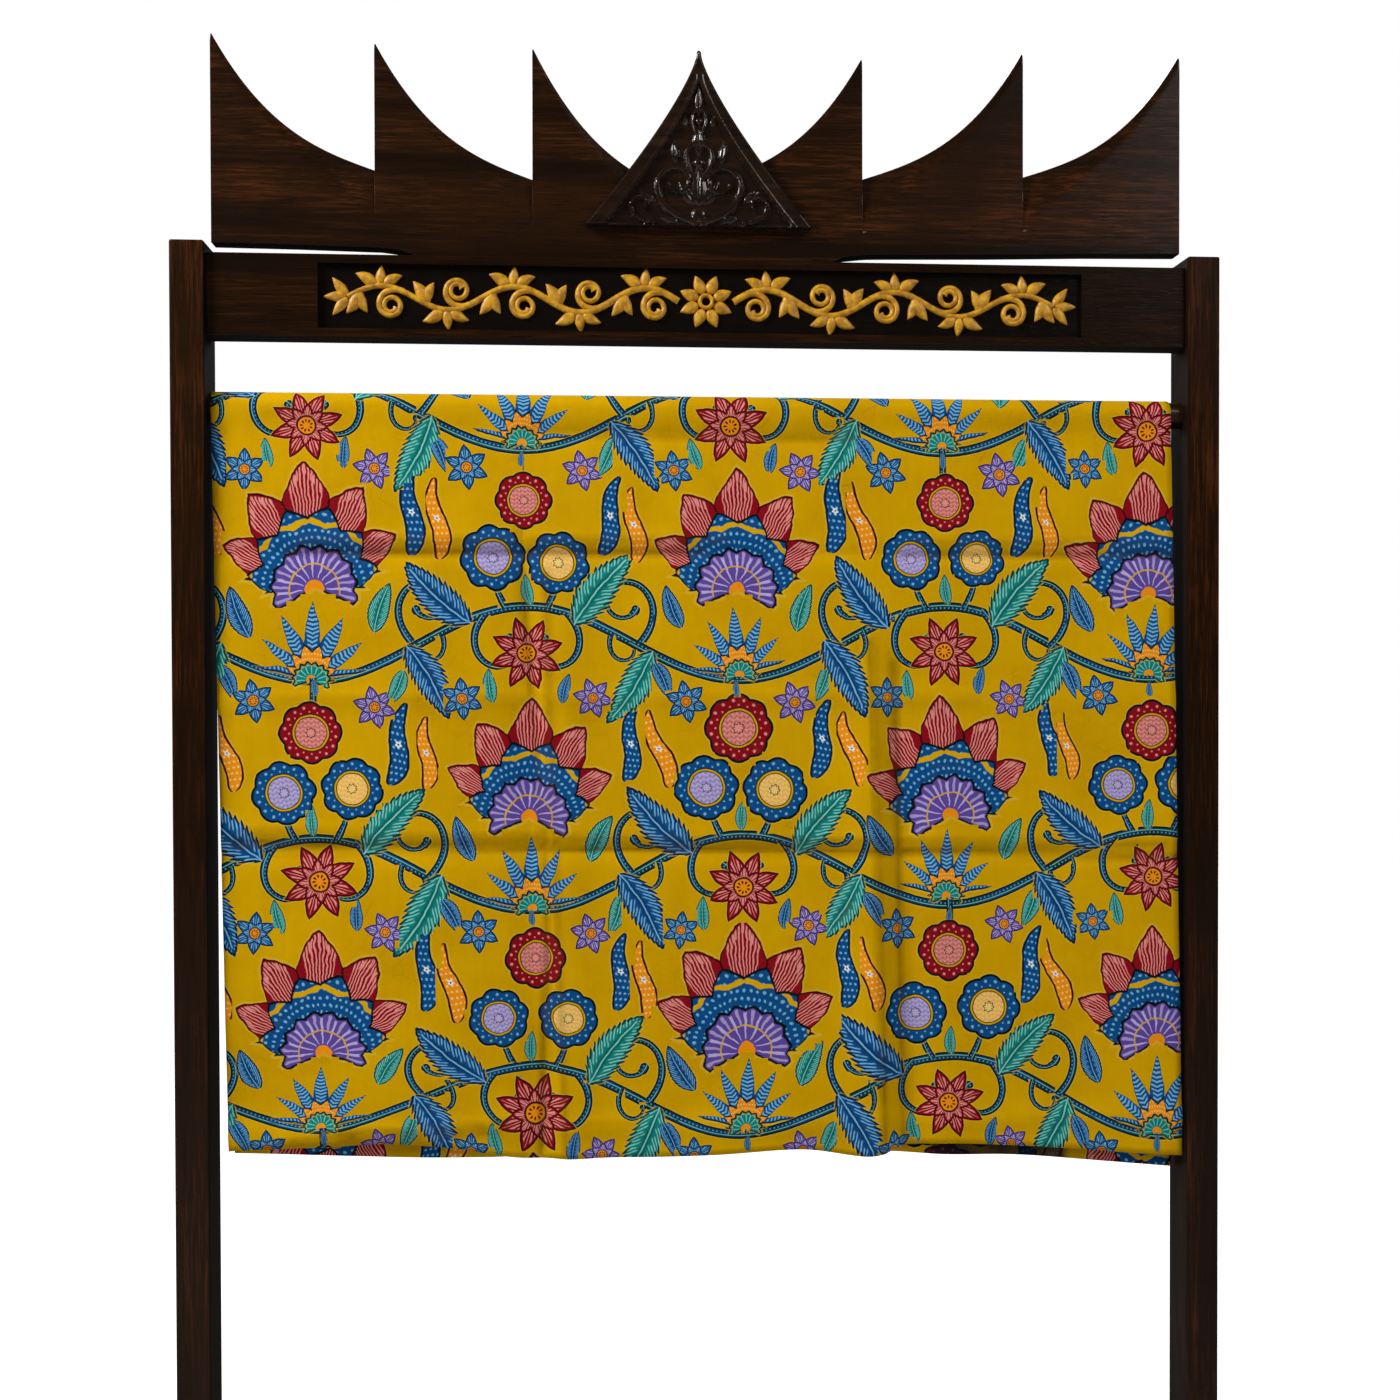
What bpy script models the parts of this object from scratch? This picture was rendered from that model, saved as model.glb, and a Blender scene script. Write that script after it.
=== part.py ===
# Batik cloth hung over the rod of a carved wooden display stand.
# Metres, +Z up. The floor is z = 0, the front looks along -Y, and x = 0 lies midway between the posts.
import math

import bmesh
import bpy
import numpy as np

# Stand: posts, feet and header rail
INNER_WIDTH = 1.070
POST_WIDTH = 0.036
POST_DEPTH = 0.055
POST_TOP = 1.529
FOOT_LENGTH = 0.420
FOOT_TOP_LENGTH = 0.330
FOOT_WIDTH = 0.050
FOOT_HEIGHT = 0.050
FOOT_SHOULDER = 0.026
RAIL_HEIGHT = 0.0885
RAIL_THICKNESS = 0.034
RAIL_TOP = 1.518
RAIL_SETBACK = 0.008
RECESS_LENGTH = 0.834
RECESS_HEIGHT = 0.0695
RECESS_DEPTH = 0.006
EDGE_ROUND = 0.002
SEAT_GAP = 0.0003

# Crest board: three horns on each side of a middle peak, over the rail
CREST_THICKNESS = 0.022
CREST_CENTRE_Y = -0.0025
CREST_HALF_LENGTH = 0.530
SEAT_LEFT = -0.300
SEAT_RIGHT = 0.130
LIFT_LEFT = 0.0140
LIFT_RIGHT = 0.0170
HORN_STEPS = 14
HORN_SHARPNESS = 2.15
# edge_x: upright outer side, tip: top of the horn, foot_x and foot: where its curve ends; above the rail
HORNS = [
    {"edge_x": -0.530, "tip": 0.2350, "foot_x": -0.357, "foot": 0.0932},
    {"edge_x": -0.357, "tip": 0.2293, "foot_x": -0.188, "foot": 0.0859},
    {"edge_x": -0.188, "tip": 0.2274, "foot_x": -0.015, "foot": 0.0720},
    {"edge_x": 0.173, "tip": 0.2275, "foot_x": -0.002, "foot": 0.0820},
    {"edge_x": 0.3525, "tip": 0.2344, "foot_x": 0.173, "foot": 0.0930},
    {"edge_x": 0.530, "tip": 0.2358, "foot_x": 0.3525, "foot": 0.0993},
]

# Pediment: triangle with hollow sides and a raised border, on the middle of the crest board
PEDIMENT_X = -0.008
PEDIMENT_BASE = 0.035
PEDIMENT_APEX = 0.2235
PEDIMENT_HALF_WIDTH = 0.123
PEDIMENT_FLARE = 1.28
PEDIMENT_THICKNESS = 0.014
PEDIMENT_STEPS = 12
FIELD_HALF_WIDTH = 0.102
FIELD_APEX_DROP = 0.029
FIELD_DEPTH = 0.004
PEAK_INSET = 0.003

# Rod, let into both posts
ROD_RADIUS = 0.0145
ROD_HEIGHT = 1.3565
ROD_SIDES = 40
SOCKET_DEPTH = 0.012
SOCKET_CLEARANCE = 0.0003

# Cloth
CLOTH_THICKNESS = 0.0015
CLOTH_CLEARANCE = 0.0005
HEM_LEVEL = 0.540
HEM_SHAPING = 0.150
BACK_LEVEL = 0.528
ARC_STEPS = 10
LEFT_EDGE_TOP = -0.5310
LEFT_EDGE_HEM = -0.5175
RIGHT_EDGE_TOP = 0.5195
RIGHT_EDGE_HEM = 0.5325
# Columns of the sheet, as fractions of its width in equal steps, finer at the two upright folds
COLUMN_BANDS = [
    {"start": 0.00, "end": 0.27, "steps": 7},
    {"start": 0.27, "end": 0.38, "steps": 7},
    {"start": 0.38, "end": 0.63, "steps": 6},
    {"start": 0.63, "end": 0.74, "steps": 7},
    {"start": 0.74, "end": 1.00, "steps": 7},
]
# Hem heights across the width, for the front and the back fall
HEM_POINTS = [
    {"x": -0.5160, "front": 0.5548, "back": 0.5438},
    {"x": -0.4060, "front": 0.5582, "back": 0.5372},
    {"x": -0.3560, "front": 0.5610, "back": 0.5355},
    {"x": -0.2860, "front": 0.5555, "back": 0.5335},
    {"x": -0.2010, "front": 0.5405, "back": 0.5335},
    {"x": -0.1110, "front": 0.5395, "back": 0.5360},
    {"x": 0.0040, "front": 0.5400, "back": 0.5350},
    {"x": 0.1040, "front": 0.5435, "back": 0.5378},
    {"x": 0.1860, "front": 0.5358, "back": 0.5330},
    {"x": 0.2190, "front": 0.5436, "back": 0.5290},
    {"x": 0.2640, "front": 0.5450, "back": 0.5240},
    {"x": 0.3390, "front": 0.5408, "back": 0.5213},
    {"x": 0.4140, "front": 0.5358, "back": 0.5147},
    {"x": 0.5325, "front": 0.5270, "back": 0.5045},
]
# Pressed creases across a fall: height, how far they stand out (+) or in (-), and half width
FRONT_CREASES = [
    {"z": 1.327, "out": -0.0020, "half": 0.020},
    {"z": 1.199, "out": -0.0035, "half": 0.014},
    {"z": 1.039, "out": 0.0015, "half": 0.014},
    {"z": 0.873, "out": -0.0040, "half": 0.015},
    {"z": 0.572, "out": 0.0025, "half": 0.012},
]
# Rows between one crease and the next, from the rod down
FRONT_STEPS_BETWEEN = [2, 4, 3, 4, 6, 1]
BACK_CREASES = [
    {"z": 1.199, "out": 0.0030, "half": 0.016},
    {"z": 0.873, "out": -0.0035, "half": 0.016},
]
BACK_STEPS_BETWEEN = [4, 6, 6]
# Upright folds: x at the top and at the hem, height where they begin, stand-out and half width
FRONT_FOLDS = [
    {"x_top": -0.203, "x_hem": -0.179, "begin": 1.280, "out": -0.0050, "half": 0.020},
    {"x_top": -0.165, "x_hem": -0.146, "begin": 1.240, "out": 0.0045, "half": 0.024},
    {"x_top": 0.172, "x_hem": 0.186, "begin": 1.160, "out": 0.0080, "half": 0.024},
    {"x_top": 0.208, "x_hem": 0.224, "begin": 1.160, "out": -0.0060, "half": 0.022},
]
BACK_FOLDS = [
    {"x_top": -0.178, "x_hem": -0.186, "begin": 1.240, "out": 0.0060, "half": 0.026},
    {"x_top": 0.176, "x_hem": 0.190, "begin": 1.200, "out": -0.0060, "half": 0.026},
]
# Slow waves that grow from the rod to the hem: centre, how far they stand out at the hem, half width
FRONT_WAVES = [
    {"x": -0.470, "out": -0.0040, "half": 0.070},
    {"x": -0.330, "out": 0.0060, "half": 0.085},
    {"x": 0.020, "out": 0.0045, "half": 0.120},
    {"x": 0.340, "out": -0.0035, "half": 0.090},
    {"x": 0.500, "out": 0.0050, "half": 0.060},
]
BACK_WAVES = [
    {"x": -0.420, "out": 0.0060, "half": 0.090},
    {"x": -0.040, "out": -0.0045, "half": 0.110},
    {"x": 0.380, "out": 0.0065, "half": 0.095},
]
FOLD_ONSET = 0.250
WAVE_GROWTH = 1.3
ROD_TANGENT = 0.020

DARK_WOOD = (0.030, 0.014, 0.008, 1.0)
BLACK_WOOD = (0.016, 0.009, 0.007, 1.0)
YELLOW_COTTON = (0.560, 0.330, 0.004, 1.0)

HALF_INNER = INNER_WIDTH / 2
SHEET_RADIUS = ROD_RADIUS + CLOTH_CLEARANCE + CLOTH_THICKNESS / 2


def clear_scene():
    for item in list(bpy.data.objects):
        bpy.data.objects.remove(item, do_unlink=True)


def new_collection(name):
    group = bpy.data.collections.new(name)
    bpy.context.scene.collection.children.link(group)
    return group


def new_material(name, colour, roughness):
    material = bpy.data.materials.new(name)
    material.use_nodes = True
    shader = material.node_tree.nodes["Principled BSDF"]
    shader.inputs["Base Color"].default_value = colour
    shader.inputs["Roughness"].default_value = roughness
    shader.inputs["Metallic"].default_value = 0.0
    return material


def move_to(item, group):
    for owner in list(item.users_collection):
        owner.objects.unlink(item)
    group.objects.link(item)


def finish_part(item, name, material, group):
    item.name = name
    item.data.name = name
    item.data.materials.clear()
    item.data.materials.append(material)
    move_to(item, group)
    return item


def add_box(size, centre):
    bpy.ops.mesh.primitive_cube_add(size=1.0, location=centre)
    box = bpy.context.object
    box.scale = size
    bpy.ops.object.transform_apply(location=False, rotation=False, scale=True)
    return box


def round_edges(item, width):
    bevel = item.modifiers.new("rounded edges", "BEVEL")
    bevel.width = width
    bevel.segments = 2
    bevel.limit_method = "ANGLE"


def cut(item, cutter, group):
    cutter.hide_render = True
    cutter.display_type = "WIRE"
    move_to(cutter, group)
    boolean = item.modifiers.new("cut by " + cutter.name, "BOOLEAN")
    boolean.operation = "DIFFERENCE"
    boolean.solver = "EXACT"
    boolean.object = cutter


def add_outline(points, thickness, location, rotation):
    # a closed flat outline in its own XY plane, given a thickness and made a mesh
    curve = bpy.data.curves.new("outline", "CURVE")
    curve.dimensions = "2D"
    curve.fill_mode = "BOTH"
    curve.extrude = thickness / 2
    spline = curve.splines.new("POLY")
    spline.points.add(len(points) - 1)
    for point, (x, y) in zip(spline.points, points):
        point.co = (x, y, 0.0, 1.0)
    spline.use_cyclic_u = True
    drawn = bpy.data.objects.new("outline", curve)
    bpy.context.scene.collection.objects.link(drawn)
    drawn.location = location
    drawn.rotation_euler = rotation
    bpy.context.view_layer.update()
    evaluated = drawn.evaluated_get(bpy.context.evaluated_depsgraph_get())
    mesh = bpy.data.meshes.new_from_object(evaluated)
    work = bmesh.new()
    work.from_mesh(mesh)
    bmesh.ops.remove_doubles(work, verts=work.verts, dist=0.00001)
    bmesh.ops.recalc_face_normals(work, faces=work.faces)
    work.to_mesh(mesh)
    work.free()
    board = bpy.data.objects.new("board", mesh)
    bpy.context.scene.collection.objects.link(board)
    board.matrix_world = drawn.matrix_world.copy()
    bpy.data.objects.remove(drawn, do_unlink=True)
    return board


def build_posts(group, cutters, wood):
    height = POST_TOP - FOOT_HEIGHT - SEAT_GAP
    for side, name in ((-1, "post_left"), (1, "post_right")):
        x = side * (HALF_INNER + POST_WIDTH / 2)
        post = add_box((POST_WIDTH, POST_DEPTH, height), (x, 0.0, POST_TOP - height / 2))
        finish_part(post, name, wood, group)
        round_edges(post, EDGE_ROUND)
        bpy.ops.mesh.primitive_cylinder_add(
            vertices=ROD_SIDES,
            radius=ROD_RADIUS + SOCKET_CLEARANCE,
            depth=2 * SOCKET_DEPTH,
            location=(side * HALF_INNER, 0.0, ROD_HEIGHT),
            rotation=(0.0, math.pi / 2, 0.0),
        )
        socket = bpy.context.object
        socket.name = "rod_socket_" + name
        cut(post, socket, cutters)


def build_feet(group, wood):
    low = FOOT_LENGTH / 2
    high = FOOT_TOP_LENGTH / 2
    outline = [(-low, 0.0), (low, 0.0), (low, FOOT_SHOULDER), (high, FOOT_HEIGHT)]
    outline += [(-high, FOOT_HEIGHT), (-low, FOOT_SHOULDER)]
    for side, name in ((-1, "foot_left"), (1, "foot_right")):
        x = side * (HALF_INNER + POST_WIDTH / 2)
        upright = (math.pi / 2, 0.0, math.pi / 2)
        foot = add_outline(outline, FOOT_WIDTH, (x, 0.0, 0.0), upright)
        finish_part(foot, name, wood, group)
        round_edges(foot, EDGE_ROUND)


def build_rail(group, cutters, wood):
    front = -POST_DEPTH / 2 + RAIL_SETBACK
    centre = (0.0, front + RAIL_THICKNESS / 2, RAIL_TOP - RAIL_HEIGHT / 2)
    rail = add_box((INNER_WIDTH - 2 * SEAT_GAP, RAIL_THICKNESS, RAIL_HEIGHT), centre)
    finish_part(rail, "header_rail", wood, group)
    round_edges(rail, EDGE_ROUND / 2)
    recess = add_box(
        (RECESS_LENGTH, 2 * RECESS_DEPTH, RECESS_HEIGHT),
        (0.0, front, centre[2]),
    )
    recess.name = "name_panel_recess"
    cut(rail, recess, cutters)


def horn_curve(horn):
    # from the tip down to the foot: a hollow curve, steep at the tip and nearly level at the foot
    points = []
    for step in range(HORN_STEPS + 1):
        t = step / HORN_STEPS
        x = horn["edge_x"] + (horn["foot_x"] - horn["edge_x"]) * t
        z = horn["foot"] + (horn["tip"] - horn["foot"]) * (1 - t) ** HORN_SHARPNESS
        points.append((x, z))
    return points


def pediment_half_width(rise, half_width, apex):
    # half the width at a height above the rail, with both sides hollow
    left = (apex - rise) / (apex - PEDIMENT_BASE)
    return half_width * min(1.0, max(0.0, left)) ** PEDIMENT_FLARE


def peak_curve(inset):
    # the middle peak from its left side over the apex to its right side
    apex = PEDIMENT_APEX - 2 * inset
    points = []
    for step in range(PEDIMENT_STEPS + 1):
        t = step / PEDIMENT_STEPS
        rise = PEDIMENT_BASE + (apex - PEDIMENT_BASE) * t
        half = max(0.0, pediment_half_width(rise, PEDIMENT_HALF_WIDTH, PEDIMENT_APEX) - inset)
        points.append((half, rise))
    left = [(PEDIMENT_X - half, rise) for half, rise in points]
    right = [(PEDIMENT_X + half, rise) for half, rise in reversed(points[:-1])]
    return left + right


def inside_peak(point):
    half = pediment_half_width(point[1], PEDIMENT_HALF_WIDTH, PEDIMENT_APEX) - PEAK_INSET
    return abs(point[0] - PEDIMENT_X) < half + PEAK_INSET


def crest_outline():
    # from the lower left corner over the horns and the middle peak to the lower right corner
    inner_left = [point for point in horn_curve(HORNS[2]) if not inside_peak(point)]
    inner_right = [point for point in horn_curve(HORNS[3]) if not inside_peak(point)]
    meeting = min(inner_left[-1][1], inner_right[-1][1])
    outline = [(-CREST_HALF_LENGTH, LIFT_LEFT)]
    for horn in HORNS[:2]:
        outline += horn_curve(horn)
    outline += inner_left
    outline += [point for point in peak_curve(PEAK_INSET) if point[1] > meeting]
    outline += reversed(inner_right)
    for horn in HORNS[4:]:
        outline += reversed(horn_curve(horn))
    outline.append((CREST_HALF_LENGTH, LIFT_RIGHT))
    outline += [(SEAT_RIGHT, SEAT_GAP), (SEAT_LEFT, SEAT_GAP)]
    return outline


def build_crest(group, wood):
    board = add_outline(
        crest_outline(),
        CREST_THICKNESS,
        (0.0, CREST_CENTRE_Y, RAIL_TOP),
        (math.pi / 2, 0.0, 0.0),
    )
    finish_part(board, "crest_board", wood, group)


def build_pediment(group, cutters, wood):
    front_of_crest = CREST_CENTRE_Y - CREST_THICKNESS / 2
    centre_y = front_of_crest - SEAT_GAP - PEDIMENT_THICKNESS / 2
    upright = (math.pi / 2, 0.0, 0.0)
    panel = add_outline(peak_curve(0.0), PEDIMENT_THICKNESS, (0.0, centre_y, RAIL_TOP), upright)
    finish_part(panel, "pediment", wood, group)
    field_apex = PEDIMENT_APEX - FIELD_APEX_DROP
    field = []
    for step in range(PEDIMENT_STEPS + 1):
        rise = PEDIMENT_BASE + (field_apex - PEDIMENT_BASE) * step / PEDIMENT_STEPS
        field.append((pediment_half_width(rise, FIELD_HALF_WIDTH, field_apex), rise))
    left = [(PEDIMENT_X - half, rise) for half, rise in field]
    right = [(PEDIMENT_X + half, rise) for half, rise in reversed(field[:-1])]
    below = [
        (PEDIMENT_X + FIELD_HALF_WIDTH, PEDIMENT_BASE - FIELD_DEPTH),
        (PEDIMENT_X - FIELD_HALF_WIDTH, PEDIMENT_BASE - FIELD_DEPTH),
    ]
    face_y = centre_y - PEDIMENT_THICKNESS / 2
    cutter = add_outline(left + right + below, 2 * FIELD_DEPTH, (0.0, face_y, RAIL_TOP), upright)
    cutter.name = "pediment_field"
    cut(panel, cutter, cutters)


def build_rod(group, wood):
    bpy.ops.mesh.primitive_cylinder_add(
        vertices=ROD_SIDES,
        radius=ROD_RADIUS,
        depth=INNER_WIDTH + 2 * (SOCKET_DEPTH - SEAT_GAP),
        location=(0.0, 0.0, ROD_HEIGHT),
        rotation=(0.0, math.pi / 2, 0.0),
    )
    rod = bpy.context.object
    finish_part(rod, "hanging_rod", wood, group)
    rod.data.shade_smooth()
    rod.data.set_sharp_from_angle(angle=math.radians(40))


def swell(value, centre, half):
    return np.exp(-(((value - centre) / half) ** 2))


def ease(value, low, high):
    t = np.clip((value - low) / (high - low), 0.0, 1.0)
    return t * t * (3 - 2 * t)


def stand_out(x, z, creases, folds, waves, hem):
    # how far a fall stands out from the upright plane below the rod
    hang = np.clip((ROD_HEIGHT - z) / (ROD_HEIGHT - hem), 0.0, 1.1)
    start = ease(ROD_HEIGHT - z, 0.0, ROD_TANGENT)
    out = np.zeros_like(x)
    for crease in creases:
        out = out + crease["out"] * start * swell(z, crease["z"], crease["half"])
    for fold in folds:
        line = fold["x_top"] + (fold["x_hem"] - fold["x_top"]) * hang
        grow = 1 - ease(z, fold["begin"] - FOLD_ONSET, fold["begin"])
        out = out + fold["out"] * grow * swell(x, line, fold["half"])
    for wave in waves:
        out = out + wave["out"] * hang**WAVE_GROWTH * swell(x, wave["x"], wave["half"])
    return out


def fall_levels(creases, steps_between, hem):
    # heights of the rows of a fall, from the rod's axis to the hem, with three rows at each crease
    stops = [ROD_HEIGHT]
    for crease in creases:
        stops += [crease["z"] + crease["half"], crease["z"] - crease["half"]]
    stops.append(hem)
    levels = [ROD_HEIGHT]
    for index, steps in enumerate(steps_between):
        upper = stops[2 * index]
        lower = stops[2 * index + 1]
        levels += [upper + (lower - upper) * step / steps for step in range(1, steps + 1)]
        if index < len(creases):
            levels += [creases[index]["z"], stops[2 * index + 2]]
    return levels


def column_fractions():
    fractions = [0.0]
    for band in COLUMN_BANDS:
        span = band["end"] - band["start"]
        fractions += [band["start"] + span * (k + 1) / band["steps"] for k in range(band["steps"])]
    return np.array(fractions)


def across(fraction, z):
    # x of a point of the sheet: the cloth hangs a little askew and drifts to the right as it falls
    hang = np.clip((ROD_HEIGHT - z) / (ROD_HEIGHT - HEM_LEVEL), 0.0, 1.0)
    left = LEFT_EDGE_TOP + (LEFT_EDGE_HEM - LEFT_EDGE_TOP) * hang
    right = RIGHT_EDGE_TOP + (RIGHT_EDGE_HEM - RIGHT_EDGE_TOP) * hang
    return left + (right - left) * fraction


def fall_row(fraction, level, side):
    # one row of a fall; side is "front" or "back"
    front = side == "front"
    hem = HEM_LEVEL if front else BACK_LEVEL
    x = across(fraction, np.full_like(fraction, level))
    hem_x = [point["x"] for point in HEM_POINTS]
    hem_line = np.interp(x, hem_x, [point[side] for point in HEM_POINTS])
    z = level + (hem_line - hem) * (1 - ease(level, hem, hem + HEM_SHAPING))
    if front:
        out = stand_out(x, z, FRONT_CREASES, FRONT_FOLDS, FRONT_WAVES, hem)
        return x, -SHEET_RADIUS - out, z
    out = stand_out(x, z, BACK_CREASES, BACK_FOLDS, BACK_WAVES, hem)
    return x, SHEET_RADIUS + out, z


def cloth_rows():
    fraction = column_fractions()
    front_levels = fall_levels(FRONT_CREASES, FRONT_STEPS_BETWEEN, HEM_LEVEL)
    back_levels = fall_levels(BACK_CREASES, BACK_STEPS_BETWEEN, BACK_LEVEL)
    rows = [fall_row(fraction, level, "front") for level in reversed(front_levels)]
    for step in range(1, ARC_STEPS):
        angle = math.pi * step / ARC_STEPS
        level = np.full_like(fraction, ROD_HEIGHT + SHEET_RADIUS * math.sin(angle))
        depth = np.full_like(fraction, -SHEET_RADIUS * math.cos(angle))
        rows.append((across(fraction, level), depth, level))
    rows += [fall_row(fraction, level, "back") for level in back_levels]
    return rows


def build_cloth(group, cotton):
    rows = cloth_rows()
    columns = len(rows[0][0])
    bpy.ops.mesh.primitive_grid_add(
        x_subdivisions=columns - 1,
        y_subdivisions=len(rows) - 1,
        size=2.0,
        location=(0.0, 0.0, 0.0),
    )
    sheet = bpy.context.object
    for vertex in sheet.data.vertices:
        column = round((vertex.co.x + 1) / 2 * (columns - 1))
        row = round((vertex.co.y + 1) / 2 * (len(rows) - 1))
        x, y, z = rows[row]
        vertex.co = (x[column], y[column], z[column])
    finish_part(sheet, "batik_cloth", cotton, group)
    thickness = sheet.modifiers.new("cloth thickness", "SOLIDIFY")
    thickness.thickness = CLOTH_THICKNESS
    thickness.offset = 0.0
    thickness.use_even_offset = True
    sheet.data.shade_smooth()


def main():
    clear_scene()
    stand = new_collection("batik_cloth_on_stand")
    cutters = new_collection("cutters")
    dark_wood = new_material("dark varnished wood", DARK_WOOD, 0.35)
    black_wood = new_material("black varnished wood", BLACK_WOOD, 0.30)
    cotton = new_material("yellow batik cotton", YELLOW_COTTON, 0.85)
    build_posts(stand, cutters, dark_wood)
    build_feet(stand, dark_wood)
    build_rail(stand, cutters, dark_wood)
    build_crest(stand, dark_wood)
    build_pediment(stand, cutters, black_wood)
    build_rod(stand, black_wood)
    build_cloth(stand, cotton)


main()
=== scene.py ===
import math

import bpy
import numpy as np
from mathutils import Matrix, Vector


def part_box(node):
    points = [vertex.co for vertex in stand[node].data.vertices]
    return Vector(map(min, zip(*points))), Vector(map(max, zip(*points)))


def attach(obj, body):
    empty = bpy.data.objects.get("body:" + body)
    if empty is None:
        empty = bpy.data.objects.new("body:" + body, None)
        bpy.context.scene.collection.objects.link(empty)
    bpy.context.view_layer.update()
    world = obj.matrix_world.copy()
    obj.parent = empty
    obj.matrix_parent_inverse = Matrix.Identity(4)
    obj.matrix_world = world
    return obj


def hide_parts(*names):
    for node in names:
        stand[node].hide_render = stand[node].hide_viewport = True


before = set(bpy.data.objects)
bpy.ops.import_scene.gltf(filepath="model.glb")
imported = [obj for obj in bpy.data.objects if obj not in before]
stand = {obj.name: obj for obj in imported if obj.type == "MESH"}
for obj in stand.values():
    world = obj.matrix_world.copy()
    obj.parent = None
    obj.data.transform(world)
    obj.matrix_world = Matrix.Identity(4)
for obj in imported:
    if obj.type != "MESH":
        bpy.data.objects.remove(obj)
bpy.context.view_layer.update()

twoPi = 2 * math.pi


def swell(value, centre, half):
    # a smooth hump, 1 at the centre and fading to both sides
    return np.exp(-(((value - centre) / half) ** 2))


def ease(value, low, high):
    # 0 below low, 1 above high, smooth between
    t = np.clip((value - low) / (high - low), 0.0, 1.0)
    return t * t * (3 - 2 * t)


def smoothLine(x, knots, heights):
    # cubic through the knots, whose slope at each knot is that of its neighbours
    knots = np.asarray(knots, float)
    heights = np.asarray(heights, float)
    slopes = np.gradient(heights, knots)
    left = np.clip(np.searchsorted(knots, x) - 1, 0, len(knots) - 2)
    gap = knots[left + 1] - knots[left]
    t = np.clip((x - knots[left]) / gap, 0.0, 1.0)
    start = heights[left] * (1 + 2 * t) * (1 - t) ** 2 + slopes[left] * gap * t * (1 - t) ** 2
    end = heights[left + 1] * t * t * (3 - 2 * t) - slopes[left + 1] * gap * t * t * (1 - t)
    return start + end


def toSegment(x, z, x1, z1, x2, z2):
    # distance from each point to a straight line piece
    along = ((x - x1) * (x2 - x1) + (z - z1) * (z2 - z1)) / ((x2 - x1) ** 2 + (z2 - z1) ** 2)
    along = np.clip(along, 0.0, 1.0)
    return np.hypot(x - x1 - along * (x2 - x1), z - z1 - along * (z2 - z1))


def gridQuads(rows, columns, wrapRows=False, wrapColumns=False):
    # corner numbers of a grid's quads, where the last row or column may meet the first
    r = np.arange(rows if wrapRows else rows - 1)
    c = np.arange(columns if wrapColumns else columns - 1)
    r, c = np.meshgrid(r, c, indexing="ij")
    nextR = (r + 1) % rows
    nextC = (c + 1) % columns
    corners = [r * columns + c, r * columns + nextC, nextR * columns + nextC, nextR * columns + c]
    return np.stack(corners, -1).reshape(-1, 4)


def makeMesh(name, points, quads, caps=(), smoothAngle=35):
    # one object from whole arrays: points, four-cornered faces and the end caps
    mesh = bpy.data.meshes.new(name)
    faces = quads.tolist() + [list(cap) for cap in caps]
    mesh.from_pydata(np.asarray(points).reshape(-1, 3), [], faces)
    mesh.polygons.foreach_set("use_smooth", np.ones(len(mesh.polygons), bool))
    mesh.update()
    if smoothAngle:
        mesh.set_sharp_from_angle(angle=math.radians(smoothAngle))
    piece = bpy.data.objects.new(name, mesh)
    bpy.context.scene.collection.objects.link(piece)
    return piece


def rowsOf(names, *rows):
    # a table of numbers as dictionaries that share its names
    return [dict(zip(names.split(), row)) for row in rows]


def wear(piece, material):
    piece.data.materials.clear()
    piece.data.materials.append(material)


class Flow:
    # a number, colour or vector on its way through a material's nodes
    def __init__(self, paint, socket):
        self.paint = paint
        self.socket = socket

    def math(self, operation, *others, clamp=False):
        settings = {"operation": operation, "use_clamp": clamp}
        return self.paint.node("Math", settings, dict(enumerate((self,) + others)))

    def __add__(self, other):
        return self.math("ADD", other)

    __radd__ = __add__

    def __sub__(self, other):
        return self.math("SUBTRACT", other)

    def __rsub__(self, other):
        return self.paint.node("Math", {"operation": "SUBTRACT"}, {0: other, 1: self})

    def __mul__(self, other):
        return self.math("MULTIPLY", other)

    __rmul__ = __mul__

    def __truediv__(self, other):
        return self.math("DIVIDE", other)

    def __pow__(self, other):
        return self.math("POWER", other)

    def __abs__(self):
        return self.math("ABSOLUTE")

    def sqrt(self):
        return self.math("SQRT")

    def sin(self):
        return self.math("SINE")

    def cos(self):
        return self.math("COSINE")

    def fract(self):
        return self.math("FRACT")

    def least(self, other):
        return self.math("MINIMUM", other)

    def most(self, other):
        return self.math("MAXIMUM", other)

    def turn(self, x):
        # angle of (x, self) in whole turns
        return self.math("ARCTAN2", x) / twoPi

    def near(self, number, half=0.5):
        return self.math("COMPARE", number, half)

    def above(self, edge=0.0, soft=0.02):
        # 0 below the edge, 1 above it, with a short slope between
        return self.math("MULTIPLY_ADD", 1 / soft, 0.5 - edge / soft, clamp=True)


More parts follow.
